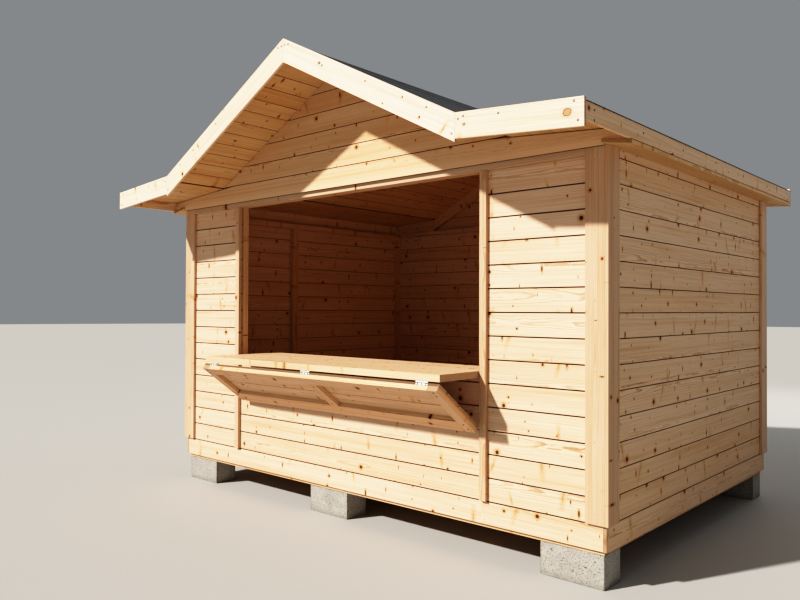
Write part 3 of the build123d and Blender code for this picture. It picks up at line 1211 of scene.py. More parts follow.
@dataclass(frozen=True)
class RoofLine:
    """The top of the roof boards: steep from the ridge to the kink, flatter over the eaves."""

    ridge: float
    kink_x: float
    kink_z: float
    eaves_x: float
    eaves_z: float
    deck: float

    @classmethod
    def measured(cls) -> "RoofLine":
        """Read the line from the frame's roof boards, and carry it on to the fascia.

        Returns:
            The line.
        """
        steep = Box(*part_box("roof_boards_right"))
        eaves = Box(*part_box("eaves_boards"))
        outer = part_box("eaves_fascias")[1].x
        kink_x, kink_z = steep.high.x, eaves.high.z
        deck = kink_z - steep.low.z
        fall = (kink_z - eaves.low.z - deck) / (eaves.high.x - kink_x)
        return cls(steep.high.z, kink_x, kink_z, outer, kink_z - fall * (outer - kink_x), deck)

    @property
    def steep(self) -> float:
        """Fall of the steep slope for each metre."""
        return (self.ridge - self.kink_z) / self.kink_x

    @property
    def flat(self) -> float:
        """Fall of the eaves slope for each metre."""
        return (self.kink_z - self.eaves_z) / (self.eaves_x - self.kink_x)

    @property
    def steep_length(self) -> float:
        """Length of the steep slope from ridge to kink."""
        return math.hypot(self.kink_x, self.ridge - self.kink_z)

    def height(self, x: float) -> float:
        """Height of the roof boards' top.

        Args:
            x: Distance from the ridge, on either side.

        Returns:
            The height above the ground.
        """
        x = abs(x)
        if x <= self.kink_x:
            return self.ridge - self.steep * x
        return self.kink_z - self.flat * (x - self.kink_x)


# --------------------------------------------------------------------------- sub-assemblies


@dataclass
class Assembly:
    """A sub-assembly of the stall, with what all of them share."""

    timber: Timber
    finishes: Finishes
    fixings: Fixings
    roof: RoofLine

    def fit(self, name: str, parts: Sequence[Piece], node: str,
            finish: Material, slot: Slot = Slot.BOARDS,
            body: Body = Body.STALL) -> None:
        """Join parts into the piece that stands for a CAD node.

        Args:
            name: The piece's name.
            parts: What it is joined from.
            node: The CAD node.
            finish: Its material.
            slot: The record's slot; not used.
            body: The body that it moves with.
        """
        finish_piece(Bench.join(name, parts), body, finish, [node])

    def fit_beams(self, name: str, node: str) -> None:
        """Fill each solid of a framing node with one planed beam."""
        self.fit(name, [self.timber.from_box(box) for box in solids(node)], node,
                 self.finishes.framing, Slot.FRAMING)

    def dress(self, node: str) -> None:
        """Give a CAD node of steel its zinc.

        Args:
            node: The CAD node.
        """
        metal = frame["nodes"][node]
        metal.data.materials.clear()
        metal.data.materials.append(self.finishes.zinc)


@dataclass
class GroundBlocks(Assembly):
    """Six loose concrete blocks under the stall."""

    arris: float = 0.005
    rim: float = 0.012
    chip: float = 0.0035
    pit: float = 0.0006
    cuts: int = 7
    seed: int = 390

    def build(self) -> None:
        """Cast the blocks with worn edges."""
        draw = random.Random(self.seed)
        boxes = solids("foundation_blocks")
        pattern = Bench.blank("block", boxes[0].size)
        Bench.modify(pattern, "BEVEL", width=self.arris, segments=2, limit_method="NONE")
        with Bench.editing(pattern):
            bpy.ops.mesh.select_all(action="SELECT")
            bpy.ops.mesh.subdivide(number_cuts=self.cuts)
        half = np.array(boxes[0].size) / 2
        blocks = []
        for box in boxes:
            piece = Bench.copy(pattern, "block")
            points = corners(piece)
            rim = (np.abs(points) > half - self.rim).sum(axis=1) >= 2
            wear = np.array([draw.random() ** 3 * self.chip if edge else draw.random() * self.pit
                             for edge in rim])
            top = np.abs(np.abs(points[:, 2]) - half[2]) < TOUCH
            points -= np.sign(points) * np.where(top[:, None], [1, 1, 0], [1, 1, 1]) * wear[:, None]
            set_corners(piece, points + np.array(box.middle))
            blocks.append(piece)
        Bench.put_away(pattern)
        self.fit("ground_blocks", blocks, "foundation_blocks", self.finishes.concrete,
                 Slot.CONCRETE)


@dataclass
class Floor(Assembly):
    """Bearers, joists and tongued floor boards."""

    cover: float = 0.113
    joint_gap: float = 0.0012

    def build(self) -> None:
        """Lay the floor."""
        self.fit_beams("floor_frame_bearers", "floor_bearers")
        self.fit_beams("floor_frame_joists", "floor_joists")
        box = Box(*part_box("floor_boards"))
        count = round(box.size.y / self.cover)
        pitch = box.size.y / count
        boards = []
        for i in range(count):
            middle = Vector((box.middle.x, box.low.y + (i + 0.5) * pitch, box.middle.z))
            boards.append(self.timber.tongued(
                (box.size.x, pitch - self.joint_gap, box.size.z), Lay(middle, X, Y),
                Joint.at(i == 0, i == count - 1)))
        self.fit("floor_planking", boards, "floor_boards", self.finishes.framing, Slot.FRAMING)


@dataclass
class BoardedWalls(Assembly):
    """The four walls in level courses of tongued boards."""

    course: float = 0.140
    rows: int = 15
    front_gap: float = 0.0064
    top_gap: float = 0.0005
    sliver: float = 0.004
    nail_edge: float = 0.028
    nail_inset: float = 0.085
    foot_nail_inset: float = 0.025
    base: float = field(init=False)

    def build(self) -> None:
        """Board every wall panel."""
        self.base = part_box("left_wall")[0].z
        for node in ("front_wall_left", "front_wall_right", "front_wall_below"):
            # The front walls take the pine copy with the sky light painted in.
            self.panel(node, X, self.front_gap, self.finishes.front)
        for node, along in (("back_wall_left", -X), ("back_wall_right", -X),
                            ("back_wall_by_door", -X), ("right_wall", Y), ("left_wall", -Y)):
            self.panel(node, along, self.timber.joint_gap, self.finishes.boarding)
        self.nail()

    def panel(self, node: str, along: Vector, gap: float, finish: Material) -> None:
        """Fill a wall node with courses that follow the stall's own course lines.

        Args:
            node: The CAD node.
            along: Direction that leaves Z across and the outside through.
            gap: Width of the open joint between the boards' faces.
            finish: Material of the boards.
        """
        boards = [board for box in solids(node) for board in self.courses(box, along, gap)]
        self.fit(f"{node}_boarding", boards, node, finish)

    def courses(self, box: Box, along: Vector, open_gap: float) -> list[Piece]:
        """Boards of one upright panel.

        Args:
            box: The panel's solid.
            along: Direction of the boards.
            open_gap: Width of the open joint between their faces.

        Returns:
            The boards, from the lowest up.
        """
        length = abs(box.size.dot(along))
        thickness = min(box.size.x, box.size.y)
        first = row = int((box.low.z - self.base + TOUCH) / self.course)
        boards = []
        while self.base + row * self.course < box.high.z - self.sliver:
            low = max(box.low.z, self.base + row * self.course)
            high = min(box.high.z, self.base + (row + 1) * self.course)
            last = high > box.high.z - self.sliver
            gap = self.top_gap if last else open_gap
            middle = Vector((box.middle.x, box.middle.y, (low + high - gap) / 2))
            boards.append(self.timber.tongued((length, high - low - gap, thickness),
                                              Lay(middle, along, Z), Joint.at(row == first, last)))
            row += 1
        return boards

    def nail(self) -> None:
        """Two nails for each course at the side walls' studs and beside the opening."""
        right = Box(*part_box("right_wall"))
        left = Box(*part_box("left_wall"))
        front = Box(*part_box("front_wall_below"))
        stud = next(b for b in solids("wall_studs") if b.high.x > right.low.x - TOUCH).middle.y
        for row in range(self.rows):
            inset = self.nail_inset if row else self.foot_nail_inset
            for rise in (self.nail_edge, self.course - self.nail_edge):
                z = self.base + row * self.course + rise
                self.fixings.drive(Head.NAIL, Vector((right.high.x, stud, z)), X)
                self.fixings.drive(Head.NAIL, Vector((left.low.x, stud, z)), -X)
                for x in (front.low.x - inset, front.high.x + inset):
                    self.fixings.drive(Head.NAIL, Vector((x, front.low.y, z)), -Y)


@dataclass
class WallFrame(Assembly):
    """Posts, studs, sill and plates inside the boards."""

    def build(self) -> None:
        """Set the frame up."""
        for name, node in (("frame_posts", "corner_posts"), ("frame_studs", "wall_studs"),
                           ("frame_sill", "sill_plate"), ("frame_side_plates", "side_top_plates")):
            self.fit_beams(name, node)
        inner = solids("front_corner_trims")[-1].low.x
        for node, wall in (("front_top_plate", "front_wall_below"),
                           ("back_top_plate", "back_wall_left")):
            self.plate(node, Box(*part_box(wall)), inner)

    def plate(self, node: str, wall: Box, inner: float) -> None:
        """A wall plate whose outer edge stands proud between the corner trims.

        Args:
            node: The CAD node.
            wall: Box of the wall below it.
            inner: Inner edge of the right corner trim.
        """
        box = Box(*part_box(node))
        parts = [self.timber.planed((2 * inner, box.size.y, box.size.z), Lay(box.middle, X, Y))]
        near, far = max(box.low.y, wall.low.y), min(box.high.y, wall.high.y)
        for side in (-1, 1):
            left, right = sorted((side * inner, side * box.high.x))
            parts.append(self.timber.from_box(Box(Vector((left, near, box.low.z)),
                                                  Vector((right, far, box.high.z)))))
        self.fit(node.replace("top_plate", "wall_plate"), parts, node, self.finishes.planed)


@dataclass
class Gables(Assembly):
    """Gable boards and the rafters behind them."""

    course: float = 0.140
    rafter: float = 0.109
    soffit: float = 0.020
    shrinkage: float = 0.005
    sliver: float = 0.010
    sawing_length: float = 0.020
    notch_gap: float = 0.0005
    cutter: tuple[float, float, float] = (0.05, 0.2, 0.1)

    def build(self) -> None:
        """Board both gables and set the rafters."""
        self.gable("front_gable", X)
        self.gable("back_gable", -X)
        for node, side in (("rafters_left", -1), ("rafters_right", 1)):
            self.rafters(node, side)

    def gable(self, node: str, along: Vector) -> None:
        """Level courses sawn to the slopes of the roof.

        Args:
            node: The CAD node.
            along: Direction that leaves Z across and the outside through.
        """
        box = Box(*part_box(node))
        roof, gap = self.roof, self.timber.joint_gap
        drop = roof.deck + self.shrinkage
        steep_cuts = [(Vector((0, 0, roof.ridge - drop)), Vector((side * roof.steep, 0, 1)))
                      for side in (-1, 1)]
        flat_cuts = [(Vector((side * roof.kink_x, 0, roof.kink_z - drop)),
                      Vector((side * roof.flat, 0, 1))) for side in (-1, 1)]
        boards, row = [], 0
        while box.low.z + row * self.course < box.high.z - self.sliver:
            low = box.low.z + row * self.course
            high = low + self.course
            foot = max(low, roof.kink_z - drop)
            length = 2 * (roof.ridge - drop - foot) / roof.steep + self.sawing_length
            if row == 0:
                length = 2 * box.high.x
            middle = Vector((0, box.middle.y, (low + high - gap) / 2))
            boards.append(self.timber.tongued(
                (length, self.course - gap, box.size.y), Lay(middle, along, Z),
                Joint.at(row == 0, False), steep_cuts if row else flat_cuts))
            row += 1
        piece = Bench.join(f"{node}_boarding", boards)
        self.notch(piece, box)
        # The gable boards take the pine copy with half shade painted in.
        finish_piece(piece, Body.STALL, self.finishes.gable, [node])

    def notch(self, piece: Piece, box: Box) -> None:
        """Cut the lowest board back along the top of the sloping soffits.

        Args:
            piece: The gable's boards.
            box: The gable's box.
        """
        soffit = solids("eaves_soffits")[-1]
        fall = (soffit.size.z - self.soffit) / soffit.size.x
        spare, depth, height = self.cutter
        inner, outer = soffit.low.x - self.notch_gap, box.high.x + spare
        top = soffit.high.z + self.notch_gap
        for side in (-1, 1):
            cutter = Bench.blank("cutter", (outer - inner, depth, height))
            middle = np.array([side * (inner + outer) / 2, box.middle.y, top - height / 2])
            set_corners(cutter, corners(cutter) + middle)
            Bench.saw(cutter, Vector((side * inner, 0, top)), Vector((side * fall, 0, 1)))
            Bench.modify(piece, "BOOLEAN", operation="DIFFERENCE", solver="EXACT",
                         object=cutter)
            Bench.put_away(cutter)

    def rafters(self, node: str, side: int) -> None:
        """Rafter and its tail on the plate, at the front and the back.

        Args:
            node: The CAD node.
            side: 1 for the right slope, -1 for the left.
        """
        roof, parts = self.roof, []
        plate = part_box("front_top_plate")[1].z
        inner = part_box("side_top_plates")[1].x
        under = roof.ridge - roof.deck
        foot = (under - self.rafter - plate) / roof.steep
        kink = roof.kink_x
        slope = Vector((1.0, 0, -roof.steep)).normalized()
        heel = (kink, under - self.rafter - roof.steep * kink)
        steep = [(0.0, under), (kink, under - roof.steep * kink), heel,
                 (0.0, under - self.rafter)]
        tail = [(kink, roof.height(kink) - roof.deck), (inner, roof.height(inner) - roof.deck),
                (inner, plate), (foot, plate), heel]
        for box in solids(node):
            depth = (box.low.y, box.high.y)
            for outline, along in ((steep, slope), (tail, X)):
                turned = Vector((along.x, 0, side * along.z))
                parts.append(self.timber.sawn([(side * x, z) for x, z in outline], depth, turned))
        self.fit(node.replace("rafters", "roof_rafters"), parts, node, self.finishes.framing,
                 Slot.FRAMING)


@dataclass
class RoofDeck(Assembly):
    """Tongued roof boards and the felt on them."""

    cover: float = 0.133
    board_gap: float = 0.0042
    end_room: float = 0.001
    face_room: float = 0.0002
    kink_room: float = 0.0046
    foot_room: float = 0.0005
    felt_sheet: float = 0.0016
    felt_width: float = 1.0
    felt_lap: float = 0.07
    felt_least: float = 0.12
    felt_ripple: float = 0.0007
    felt_foot_room: float = 0.0006
    felt_bed: float = 0.0003
    felt_bend: float = 0.03
    felt_waver: float = 0.004
    felt_cells: tuple[int, int] = (60, 16)
    ripple_along: float = 5.1
    ripple_down: float = 9.0
    ripple_skew: float = 1.7
    ripple_shift: float = 2.0
    waver_along: float = 2.3
    waver_shift: float = 1.3
    ridge_strip: float = 0.16
    ridge_lift: float = 0.98
    ridge_room: float = 0.004

    def build(self) -> None:
        """Board and cover both slopes."""
        roof = self.roof
        ridge, kink = Vector((0, 0, roof.ridge)), Vector((roof.kink_x, 0, roof.kink_z))
        fascia_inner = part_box("eaves_boards")[1].x
        eaves = Vector((fascia_inner, 0, roof.height(fascia_inner)))
        for node, side in (("roof_boards_left", -1), ("roof_boards_right", 1)):
            boards = self.slope(ridge, kink, side, (roof.deck * roof.steep, self.kink_room))
            # The roof boards take the pine copy with the shade under the roof painted in.
            self.fit(node.replace("boards", "planking"), boards, node, self.finishes.painted_shade)
        boards = [board for side in (-1, 1)
                  for board in self.slope(kink, eaves, side, (self.kink_room, self.foot_room))]
        self.fit("eaves_planking", boards, "eaves_boards", self.finishes.painted_shade)
        self.felt()

    def slope(self, upper: Vector, lower: Vector, side: int,
              ease: tuple[float, float]) -> list[Piece]:
        """Boards from front to back on one slope.

        Args:
            upper: Upper end of the slope on its right side.
            lower: Lower end of the slope on its right side.
            side: 1 for the right slope, -1 for the left.
            ease: Room at the upper and the lower end.

        Returns:
            The boards.
        """
        top = Vector((side * upper.x, 0, upper.z))
        foot = Vector((side * lower.x, 0, lower.z))
        down = (foot - top).normalized()
        top, foot = top + down * ease[0], foot - down * ease[1]
        box = Box(*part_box("eaves_boards"))
        span = (foot - top).length
        count = round(span / self.cover)
        pitch = span / count
        size = (box.size.y - self.end_room, pitch - self.board_gap,
                self.roof.deck - self.face_room)
        out = Vector((-side * down.z, 0, side * down.x))
        along = -Y if (-Y).cross(down).dot(out) > 0 else Y
        boards = []
        for i in range(count):
            middle = top + down * ((i + 0.5) * pitch) - out * (self.roof.deck / 2 + self.face_room)
            middle.y = box.middle.y
            boards.append(self.timber.tongued(size, Lay(middle, along, down),
                                              Joint.at(i == 0, i == count - 1)))
        return boards

    def felt(self) -> None:
        """Sheets laid from the eaves up, each lapping the one below, with a strip on the ridge."""
        roof, sheets = self.roof, []
        deck = Box(*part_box("roof_felt"))
        whole = roof.steep_length + math.hypot(deck.high.x - roof.kink_x,
                                               roof.kink_z - roof.height(deck.high.x))
        for side in (-1, 1):
            low, layer = whole - self.felt_foot_room, 0
            while low > self.felt_least:
                high = max(low - self.felt_width, self.ridge_room)
                sheets.append(self.sheet(side, high, low, layer, deck))
                low = high + self.felt_lap if high > self.ridge_room else 0.0
                layer += 1
            sheets.append(self.sheet(side, 0.0, self.ridge_strip, 1, deck,
                                     lift=self.felt_sheet * self.ridge_lift))
        self.fit("felt_sheets", sheets, "roof_felt", self.finishes.felt, Slot.FELT)

    def sheet(self, side: int, high: float, low: float, layer: int, deck: Box,
              lift: float = 0.0) -> Piece:
        """One sheet of felt bent over the roof boards.

        Args:
            side: 1 for the right slope, -1 for the left.
            high: Distance down the slope from the ridge to its upper edge.
            low: Distance down the slope from the ridge to its lower edge.
            layer: Count of sheets under its lower edge.
            deck: The felt's box.
            lift: Height of its underside above the boards.

        Returns:
            The sheet in its place.
        """
        bpy.ops.object.select_all(action="DESELECT")
        along, across = self.felt_cells
        bpy.ops.mesh.primitive_grid_add(x_subdivisions=along, y_subdivisions=across, size=1.0)
        piece = bpy.context.object
        points = corners(piece)
        y = deck.middle.y + points[:, 0] * (deck.size.y - self.end_room)
        share = points[:, 1] + 0.5
        wave = (np.sin(y * self.ripple_along + layer * self.ripple_shift + side)
                * np.sin(share * self.ripple_down + y * self.ripple_skew))
        edge = (self.felt_waver * np.sin(y * self.waver_along + layer * self.waver_shift + side)
                * (share < TOUCH) * (layer > 0))
        down = low + (high - low) * share + edge
        step = self.felt_sheet if layer and not lift else 0.0
        rise = self.felt_bed + lift + step * np.clip(
            (down - (low - self.felt_lap)) / self.felt_lap, 0.0, 1.0)
        rise = rise + self.felt_ripple * (wave * 0.5 + 0.5)
        x, z, nx, nz = self.unrolled(down)
        set_corners(piece, np.stack([side * (x + nx * rise), y, z + nz * rise], axis=1))
        if piece.data.polygons[0].normal.z < 0:
            piece.data.flip_normals()
        Bench.modify(piece, "SOLIDIFY", thickness=self.felt_sheet, offset=1.0)
        return piece

    def unrolled(self, down: np.ndarray) -> tuple[np.ndarray, ...]:
        """Bend points over the roof line.

        Args:
            down: Their distances from the ridge down the slope.

        Returns:
            X and Z of each point, and X and Z of the normal there.
        """
        roof = self.roof
        kink = roof.steep_length
        steep = np.array([roof.kink_x, roof.kink_z - roof.ridge]) / kink
        flat = np.array([1.0, -roof.flat]) / math.hypot(1.0, roof.flat)
        past = down > kink
        x = np.where(past, roof.kink_x + (down - kink) * flat[0], down * steep[0])
        z = np.where(past, roof.kink_z + (down - kink) * flat[1], roof.ridge + down * steep[1])
        blend = np.clip((down - kink + self.felt_bend) / (2 * self.felt_bend), 0.0, 1.0)
        nx = -steep[1] * (1 - blend) - flat[1] * blend
        nz = steep[0] * (1 - blend) + flat[0] * blend
        return x, z, nx, nz


@dataclass
class RoofEdges(Assembly):
    """Barge boards, fascias and soffits round the roof."""

    planed_off: float = 0.0013
    soffit: float = 0.020
    fascia_foot_room: float = 0.005
    fascia_top_room: float = 0.0015
    fascia_screws: int = 7
    fascia_inset: float = 0.08
    fascia_single: tuple[float, ...] = (0.040,)
    fascia_pair: tuple[float, ...] = (0.030, 0.078)
    barge_screws: tuple[tuple[float, float], ...] = (
        (0.016, 0.022), (0.052, 0.006), (0.753, 0.024), (1.043, 0.023), (1.217, 0.020),
        (1.390, 0.100), (1.432, 0.020), (1.466, 0.006), (1.683, 0.014), (2.100, 0.000),
        (2.120, 0.090))

    def build(self) -> None:
        """Saw and fit them."""
        roof = self.roof
        barge = Box(*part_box("front_barge_right"))
        rise = barge.high.z - roof.ridge
        drop = roof.kink_z - barge.low.z
        eaves_drop = roof.eaves_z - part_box("eaves_barges")[0].z
        back = Box(*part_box("back_barge_right"))
        ends = {"front": (barge.low.y + self.planed_off, barge.high.y),
                "back": (back.low.y, back.high.y - self.planed_off)}
        for face, depth in ends.items():
            for name, side in (("left", -1), ("right", 1)):
                outline = self.band(0.0, roof.kink_x, rise, drop, side)
                slope = Vector((1.0, 0, -side * roof.steep)).normalized()
                self.fit(f"{face}_steep_barge_{name}", [self.timber.sawn(outline, depth, slope)],
                         f"{face}_barge_{name}", self.finishes.edging)
        parts = []
        for depth in ends.values():
            for side in (-1, 1):
                outline = self.band(roof.kink_x, roof.eaves_x, rise, eaves_drop, side)
                slope = Vector((1.0, 0, -side * roof.flat)).normalized()
                parts.append(self.timber.sawn(outline, depth, slope))
        self.fit("eaves_barge_boards", parts, "eaves_barges", self.finishes.edging)
        self.fascias()
        self.soffits()
        self.screw_barges(ends["front"][0], -Y)
        self.screw_barges(ends["back"][1], Y)
        self.screw_fascias()

    def band(self, start: float, end: float, rise: float, drop: float,
             side: int) -> list[tuple[float, float]]:
        """Outline of a barge board on one slope.

        Args:
            start: Its upper end, as a distance from the ridge.
            end: Its lower end.
            rise: Height of its top edge above the roof boards' top.
            drop: Depth of its lower edge below it.
            side: 1 for the right slope, -1 for the left.

        Returns:
            The corners in X and Z, in order round the outline.
        """
        line = [(start, self.roof.height(start)), (end, self.roof.height(end))]
        upper = [(side * x, z + rise) for x, z in line]
        lower = [(side * x, z - drop) for x, z in line[::-1]]
        return upper + lower

    def fascias(self) -> None:
        """Fascias along the eaves, with a thin open joint under the felt and over the soffit."""
        parts = [self.timber.from_box(Box(b.low + Z * self.fascia_foot_room,
                                          b.high - Z * self.fascia_top_room))
                 for b in solids("eaves_fascias")]
        self.fit("fascia_boards", parts, "eaves_fascias", self.finishes.boarding)

    def soffits(self) -> None:
        """Sloping boards that close the eaves from below."""
        parts = []
        for box in solids("eaves_soffits"):
            side = 1 if box.middle.x > 0 else -1
            near, far = sorted((abs(box.low.x), abs(box.high.x)))
            outline = [(near, box.high.z - self.soffit), (far, box.low.z),
                       (far, box.low.z + self.soffit), (near, box.high.z)]
            parts.append(self.timber.sawn([(side * x, z) for x, z in outline],
                                          (box.low.y, box.high.y), Y))
        # The soffits take the pine copy with the shade under the roof painted in.
        self.fit("soffit_boards", parts, "eaves_soffits", self.finishes.painted_shade)

    def screw_barges(self, y: float, outward: Vector) -> None:
        """Screws through the barges of one end into the roof boards.

        Args:
            y: Place of the barges' outer face.
            outward: Direction out of it.
        """
        for side in (-1, 1):
            for x, fall in self.barge_screws:
                point = Vector((side * x, y, self.roof.height(x) - fall))
                self.fixings.drive(Head.SCREW, point, outward)

    def screw_fascias(self) -> None:
        """Screws through the fascias, every third place with two."""
        for box in solids("eaves_fascias"):
            side = 1 if box.middle.x > 0 else -1
            x = box.high.x if side > 0 else box.low.x
            run = box.size.y - 2 * self.fascia_inset
            for i in range(self.fascia_screws):
                y = box.low.y + self.fascia_inset + i * run / (self.fascia_screws - 1)
                for fall in self.fascia_single if i % 3 else self.fascia_pair:
                    self.fixings.drive(Head.SCREW, Vector((x, y, box.high.z - fall)), X * side)


@dataclass
class Trims(Assembly):
    """Corner trims and the battens beside the opening."""

    nails: int = 6
    top_inset: float = 0.07
    foot_inset: float = 0.06

    def build(self) -> None:
        """Fit the trims and nail them on."""
        for name, node in (("front_corner_boards", "front_corner_trims"),
                           ("back_corner_boards", "back_corner_trims"),
                           ("side_corner_boards", "side_corner_trims"),
                           ("opening_cover_strips", "opening_battens")):
            boxes = solids(node)
            self.fit(name, [self.timber.from_box(box) for box in boxes], node,
                     self.finishes.planed)
            for box in boxes:
                self.nail(box)

    def nail(self, box: Box) -> None:
        """A row of nails down the middle of a trim's outer face.

        Args:
            box: The trim's box.
        """
        thin = 0 if box.size.x < box.size.y else 1
        outward = (X, Y)[thin] * (1 if box.middle[thin] > 0 else -1)
        top, foot = box.middle.copy(), box.middle.copy()
        top[thin] = foot[thin] = box.high[thin] if box.middle[thin] > 0 else box.low[thin]
        top.z, foot.z = box.high.z - self.top_inset, box.low.z + self.foot_inset
        self.fixings.row(foot, top, self.nails, outward)


@dataclass
class Counter(Assembly):
    """The fixed serving counter."""

    boards: int = 5
    joint_gap: float = 0.0003
    screws: int = 6
    screw_inset: float = 0.12
    sill_inset: float = 0.025

    def build(self) -> None:
        """Lay its boards edge to edge."""
        box = Box(*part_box("counter"))
        pitch = box.size.y / self.boards
        parts = []
        for i in range(self.boards):
            middle = Vector((box.middle.x, box.low.y + (i + 0.5) * pitch, box.middle.z))
            parts.append(self.timber.planed(
                (box.size.x, pitch - self.joint_gap, box.size.z), Lay(middle, X, Y)))
        self.fit("counter_boards", parts, "counter", self.finishes.boarding)
        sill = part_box("sill_plate")[0].y + self.sill_inset
        run = box.size.x - 2 * self.screw_inset
        for i in range(self.screws):
            x = box.low.x + self.screw_inset + i * run / (self.screws - 1)
            self.fixings.drive(Head.SCREW, Vector((x, sill, box.high.z)), Z)


@dataclass
class PropPanel(Assembly):
    """The framed panel hinged under the counter's front edge."""

    edge_gap: float = 0.006
    board: float = 0.018
    board_gap: float = 0.0036
    face_room: float = 0.0004
    rail: float = 0.030
    top_rail: float = 0.078
    bottom_rail: float = 0.115
    stile: float = 0.075
    centre_stile_shift: float = 0.028
    seams: tuple[float, ...] = (0.088, 0.228, 0.368)
    top_screws: tuple[float, ...] = (0.022, 0.058)
    bottom_screws: tuple[float, ...] = (0.09, 0.035)
    centre_screw_inset: float = 0.03
    tilts: tuple[float, float] = (0.2, 1.2)
    halvings: int = 50
    rounds: int = 30
    left: float = field(init=False)
    right: float = field(init=False)
    centre: float = field(init=False)
    end: float = field(init=False)
    origin: Vector = field(init=False)
    down: Vector = field(init=False)
    out: Vector = field(init=False)

    def build(self) -> None:
        """Join boards, rails and stiles in the panel's own plane."""
        self.origin = Vector(frame["joints"][0]["pos_m"])
        self.origin.x = 0.0
        low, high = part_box("flap_boards")
        self.left, self.right = low.x, high.x
        self.centre = (low.x + high.x) / 2
        self.end = self.edge_gap + self.solve_length(high.y - low.y, high.z - low.z)
        self.panel_boards()
        self.panel_frame()
        self.screw()

    def solve_length(self, span_y: float, span_z: float) -> float:
        """Solve the panel's tilt and length from the box of its tilted boards.

        Args:
            span_y: Depth of the boards' box.
            span_z: Height of the boards' box.

        Returns:
            The length down the slope. The directions down and out of it are kept as well.
        """
        length = math.sqrt(span_y * span_y + span_z * span_z - self.board * self.board)
        for _ in range(self.rounds):
            angle = self._angle(length, span_z)
            length = (span_y - self.board * math.sin(angle)) / math.cos(angle)
        self.down = Vector((0, math.cos(angle), -math.sin(angle)))
        self.out = Vector((0, -math.sin(angle), -math.cos(angle)))
        return length

    def _angle(self, length: float, span_z: float) -> float:
        """Tilt for which a board has the box's height.

        Args:
            length: The board's length.
            span_z: The box's height.

        Returns:
            The angle below level.
        """
        low, high = self.tilts
        for _ in range(self.halvings):
            middle = (low + high) / 2
            height = length * math.sin(middle) + self.board * math.cos(middle)
            low, high = (middle, high) if height < span_z else (low, middle)
        return (low + high) / 2

    def place(self, x: float, down: float, out: float) -> Vector:
        """A point by its X, its distance down the slope and its height out of the inner face."""
        return self.origin + X * x + self.down * down + self.out * out

    @property
    def window(self) -> tuple[float, float]:
        """Distances down the slope between which the boards show between the rails."""
        return self.edge_gap + self.top_rail, self.end - self.bottom_rail

    @property
    def stiles(self) -> tuple[float, float]:
        """X of the middle of both end stiles."""
        return self.left + self.stile / 2, self.right - self.stile / 2

    def panel_boards(self) -> None:
        """The recessed boards."""
        edges = [self.edge_gap, *self.seams, self.end]
        parts = []
        for i, (start, stop) in enumerate(zip(edges, edges[1:])):
            last = i == len(edges) - 2
            gap = 0.0 if last else self.board_gap
            middle = self.place(self.centre, (start + stop - gap) / 2, self.board / 2)
            parts.append(self.timber.tongued(
                (self.right - self.left, stop - start - gap, self.board - self.face_room),
                Lay(middle, -X, self.down), Joint.at(i == 0, last)))
        self.fit("prop_panel_boards", parts, "flap_boards", self.finishes.boarding,
                 body=Body.FLAP)

    def panel_frame(self) -> None:
        """Rails between two end stiles, and a stile in the middle."""
        out = self.board + self.rail / 2
        inner_left, inner_right = self.left + self.stile, self.right - self.stile
        low, high = self.window
        parts = []
        for width, down in ((self.top_rail, self.edge_gap + self.top_rail / 2),
                            (self.bottom_rail, self.end - self.bottom_rail / 2)):
            parts.append(self.timber.planed(
                (inner_right - inner_left, width, self.rail),
                Lay(self.place((inner_left + inner_right) / 2, down, out), -X, self.down)))
        uprights = [(x, self.edge_gap, self.end) for x in self.stiles]
        uprights.append((self.centre + self.centre_stile_shift, low, high))
        for x, start, stop in uprights:
            parts.append(self.timber.planed(
                (stop - start, self.stile, self.rail),
                Lay(self.place(x, (start + stop) / 2, out), self.down, X)))
        # The frame takes the pine copy with half shade painted in.
        self.fit("prop_panel_frame", parts, "flap_frame", self.finishes.gable, body=Body.FLAP)

    def screw(self) -> None:
        """Screws through the stiles into the rails."""
        low, high = self.window
        ends = (*(self.edge_gap + inset for inset in self.top_screws),
                *(self.end - inset for inset in self.bottom_screws))
        spots = [(x, down) for x in self.stiles for down in ends]
        spots += [(self.centre + self.centre_stile_shift, down)
                  for down in (low + self.centre_screw_inset, high - self.centre_screw_inset)]
        for x, down in spots:
            self.fixings.drive(Head.SCREW, self.place(x, down, self.board + self.rail), self.out,
                               Body.FLAP)


@dataclass
class Hinges(Assembly):
    """Zinc butt hinges of the prop panel: the CAD leaves with screws in them."""

    panel: PropPanel
    screw_inset: float = 0.013
    screw_reach: float = 0.0115
    leaf_face: float = 0.004

    def build(self) -> None:
        """Dress the CAD nodes and set their screws."""
        for node in ("counter_hinges", "flap_hinges"):
            self.dress(node)
        for box in solids("counter_hinges"):
            log.info("hinge from x %.3f to %.3f", box.low.x, box.high.x)
            for x in (box.low.x + self.screw_inset, box.middle.x, box.high.x - self.screw_inset):
                under_counter = self.panel.origin + X * x + Y * self.screw_reach
                self.fixings.drive(Head.SCREW, under_counter + Z * self.leaf_face, -Z)
                on_panel = self.panel.place(x, self.leaf_face, self.screw_reach)
                self.fixings.drive(Head.SCREW, on_panel, -self.panel.down, Body.FLAP)


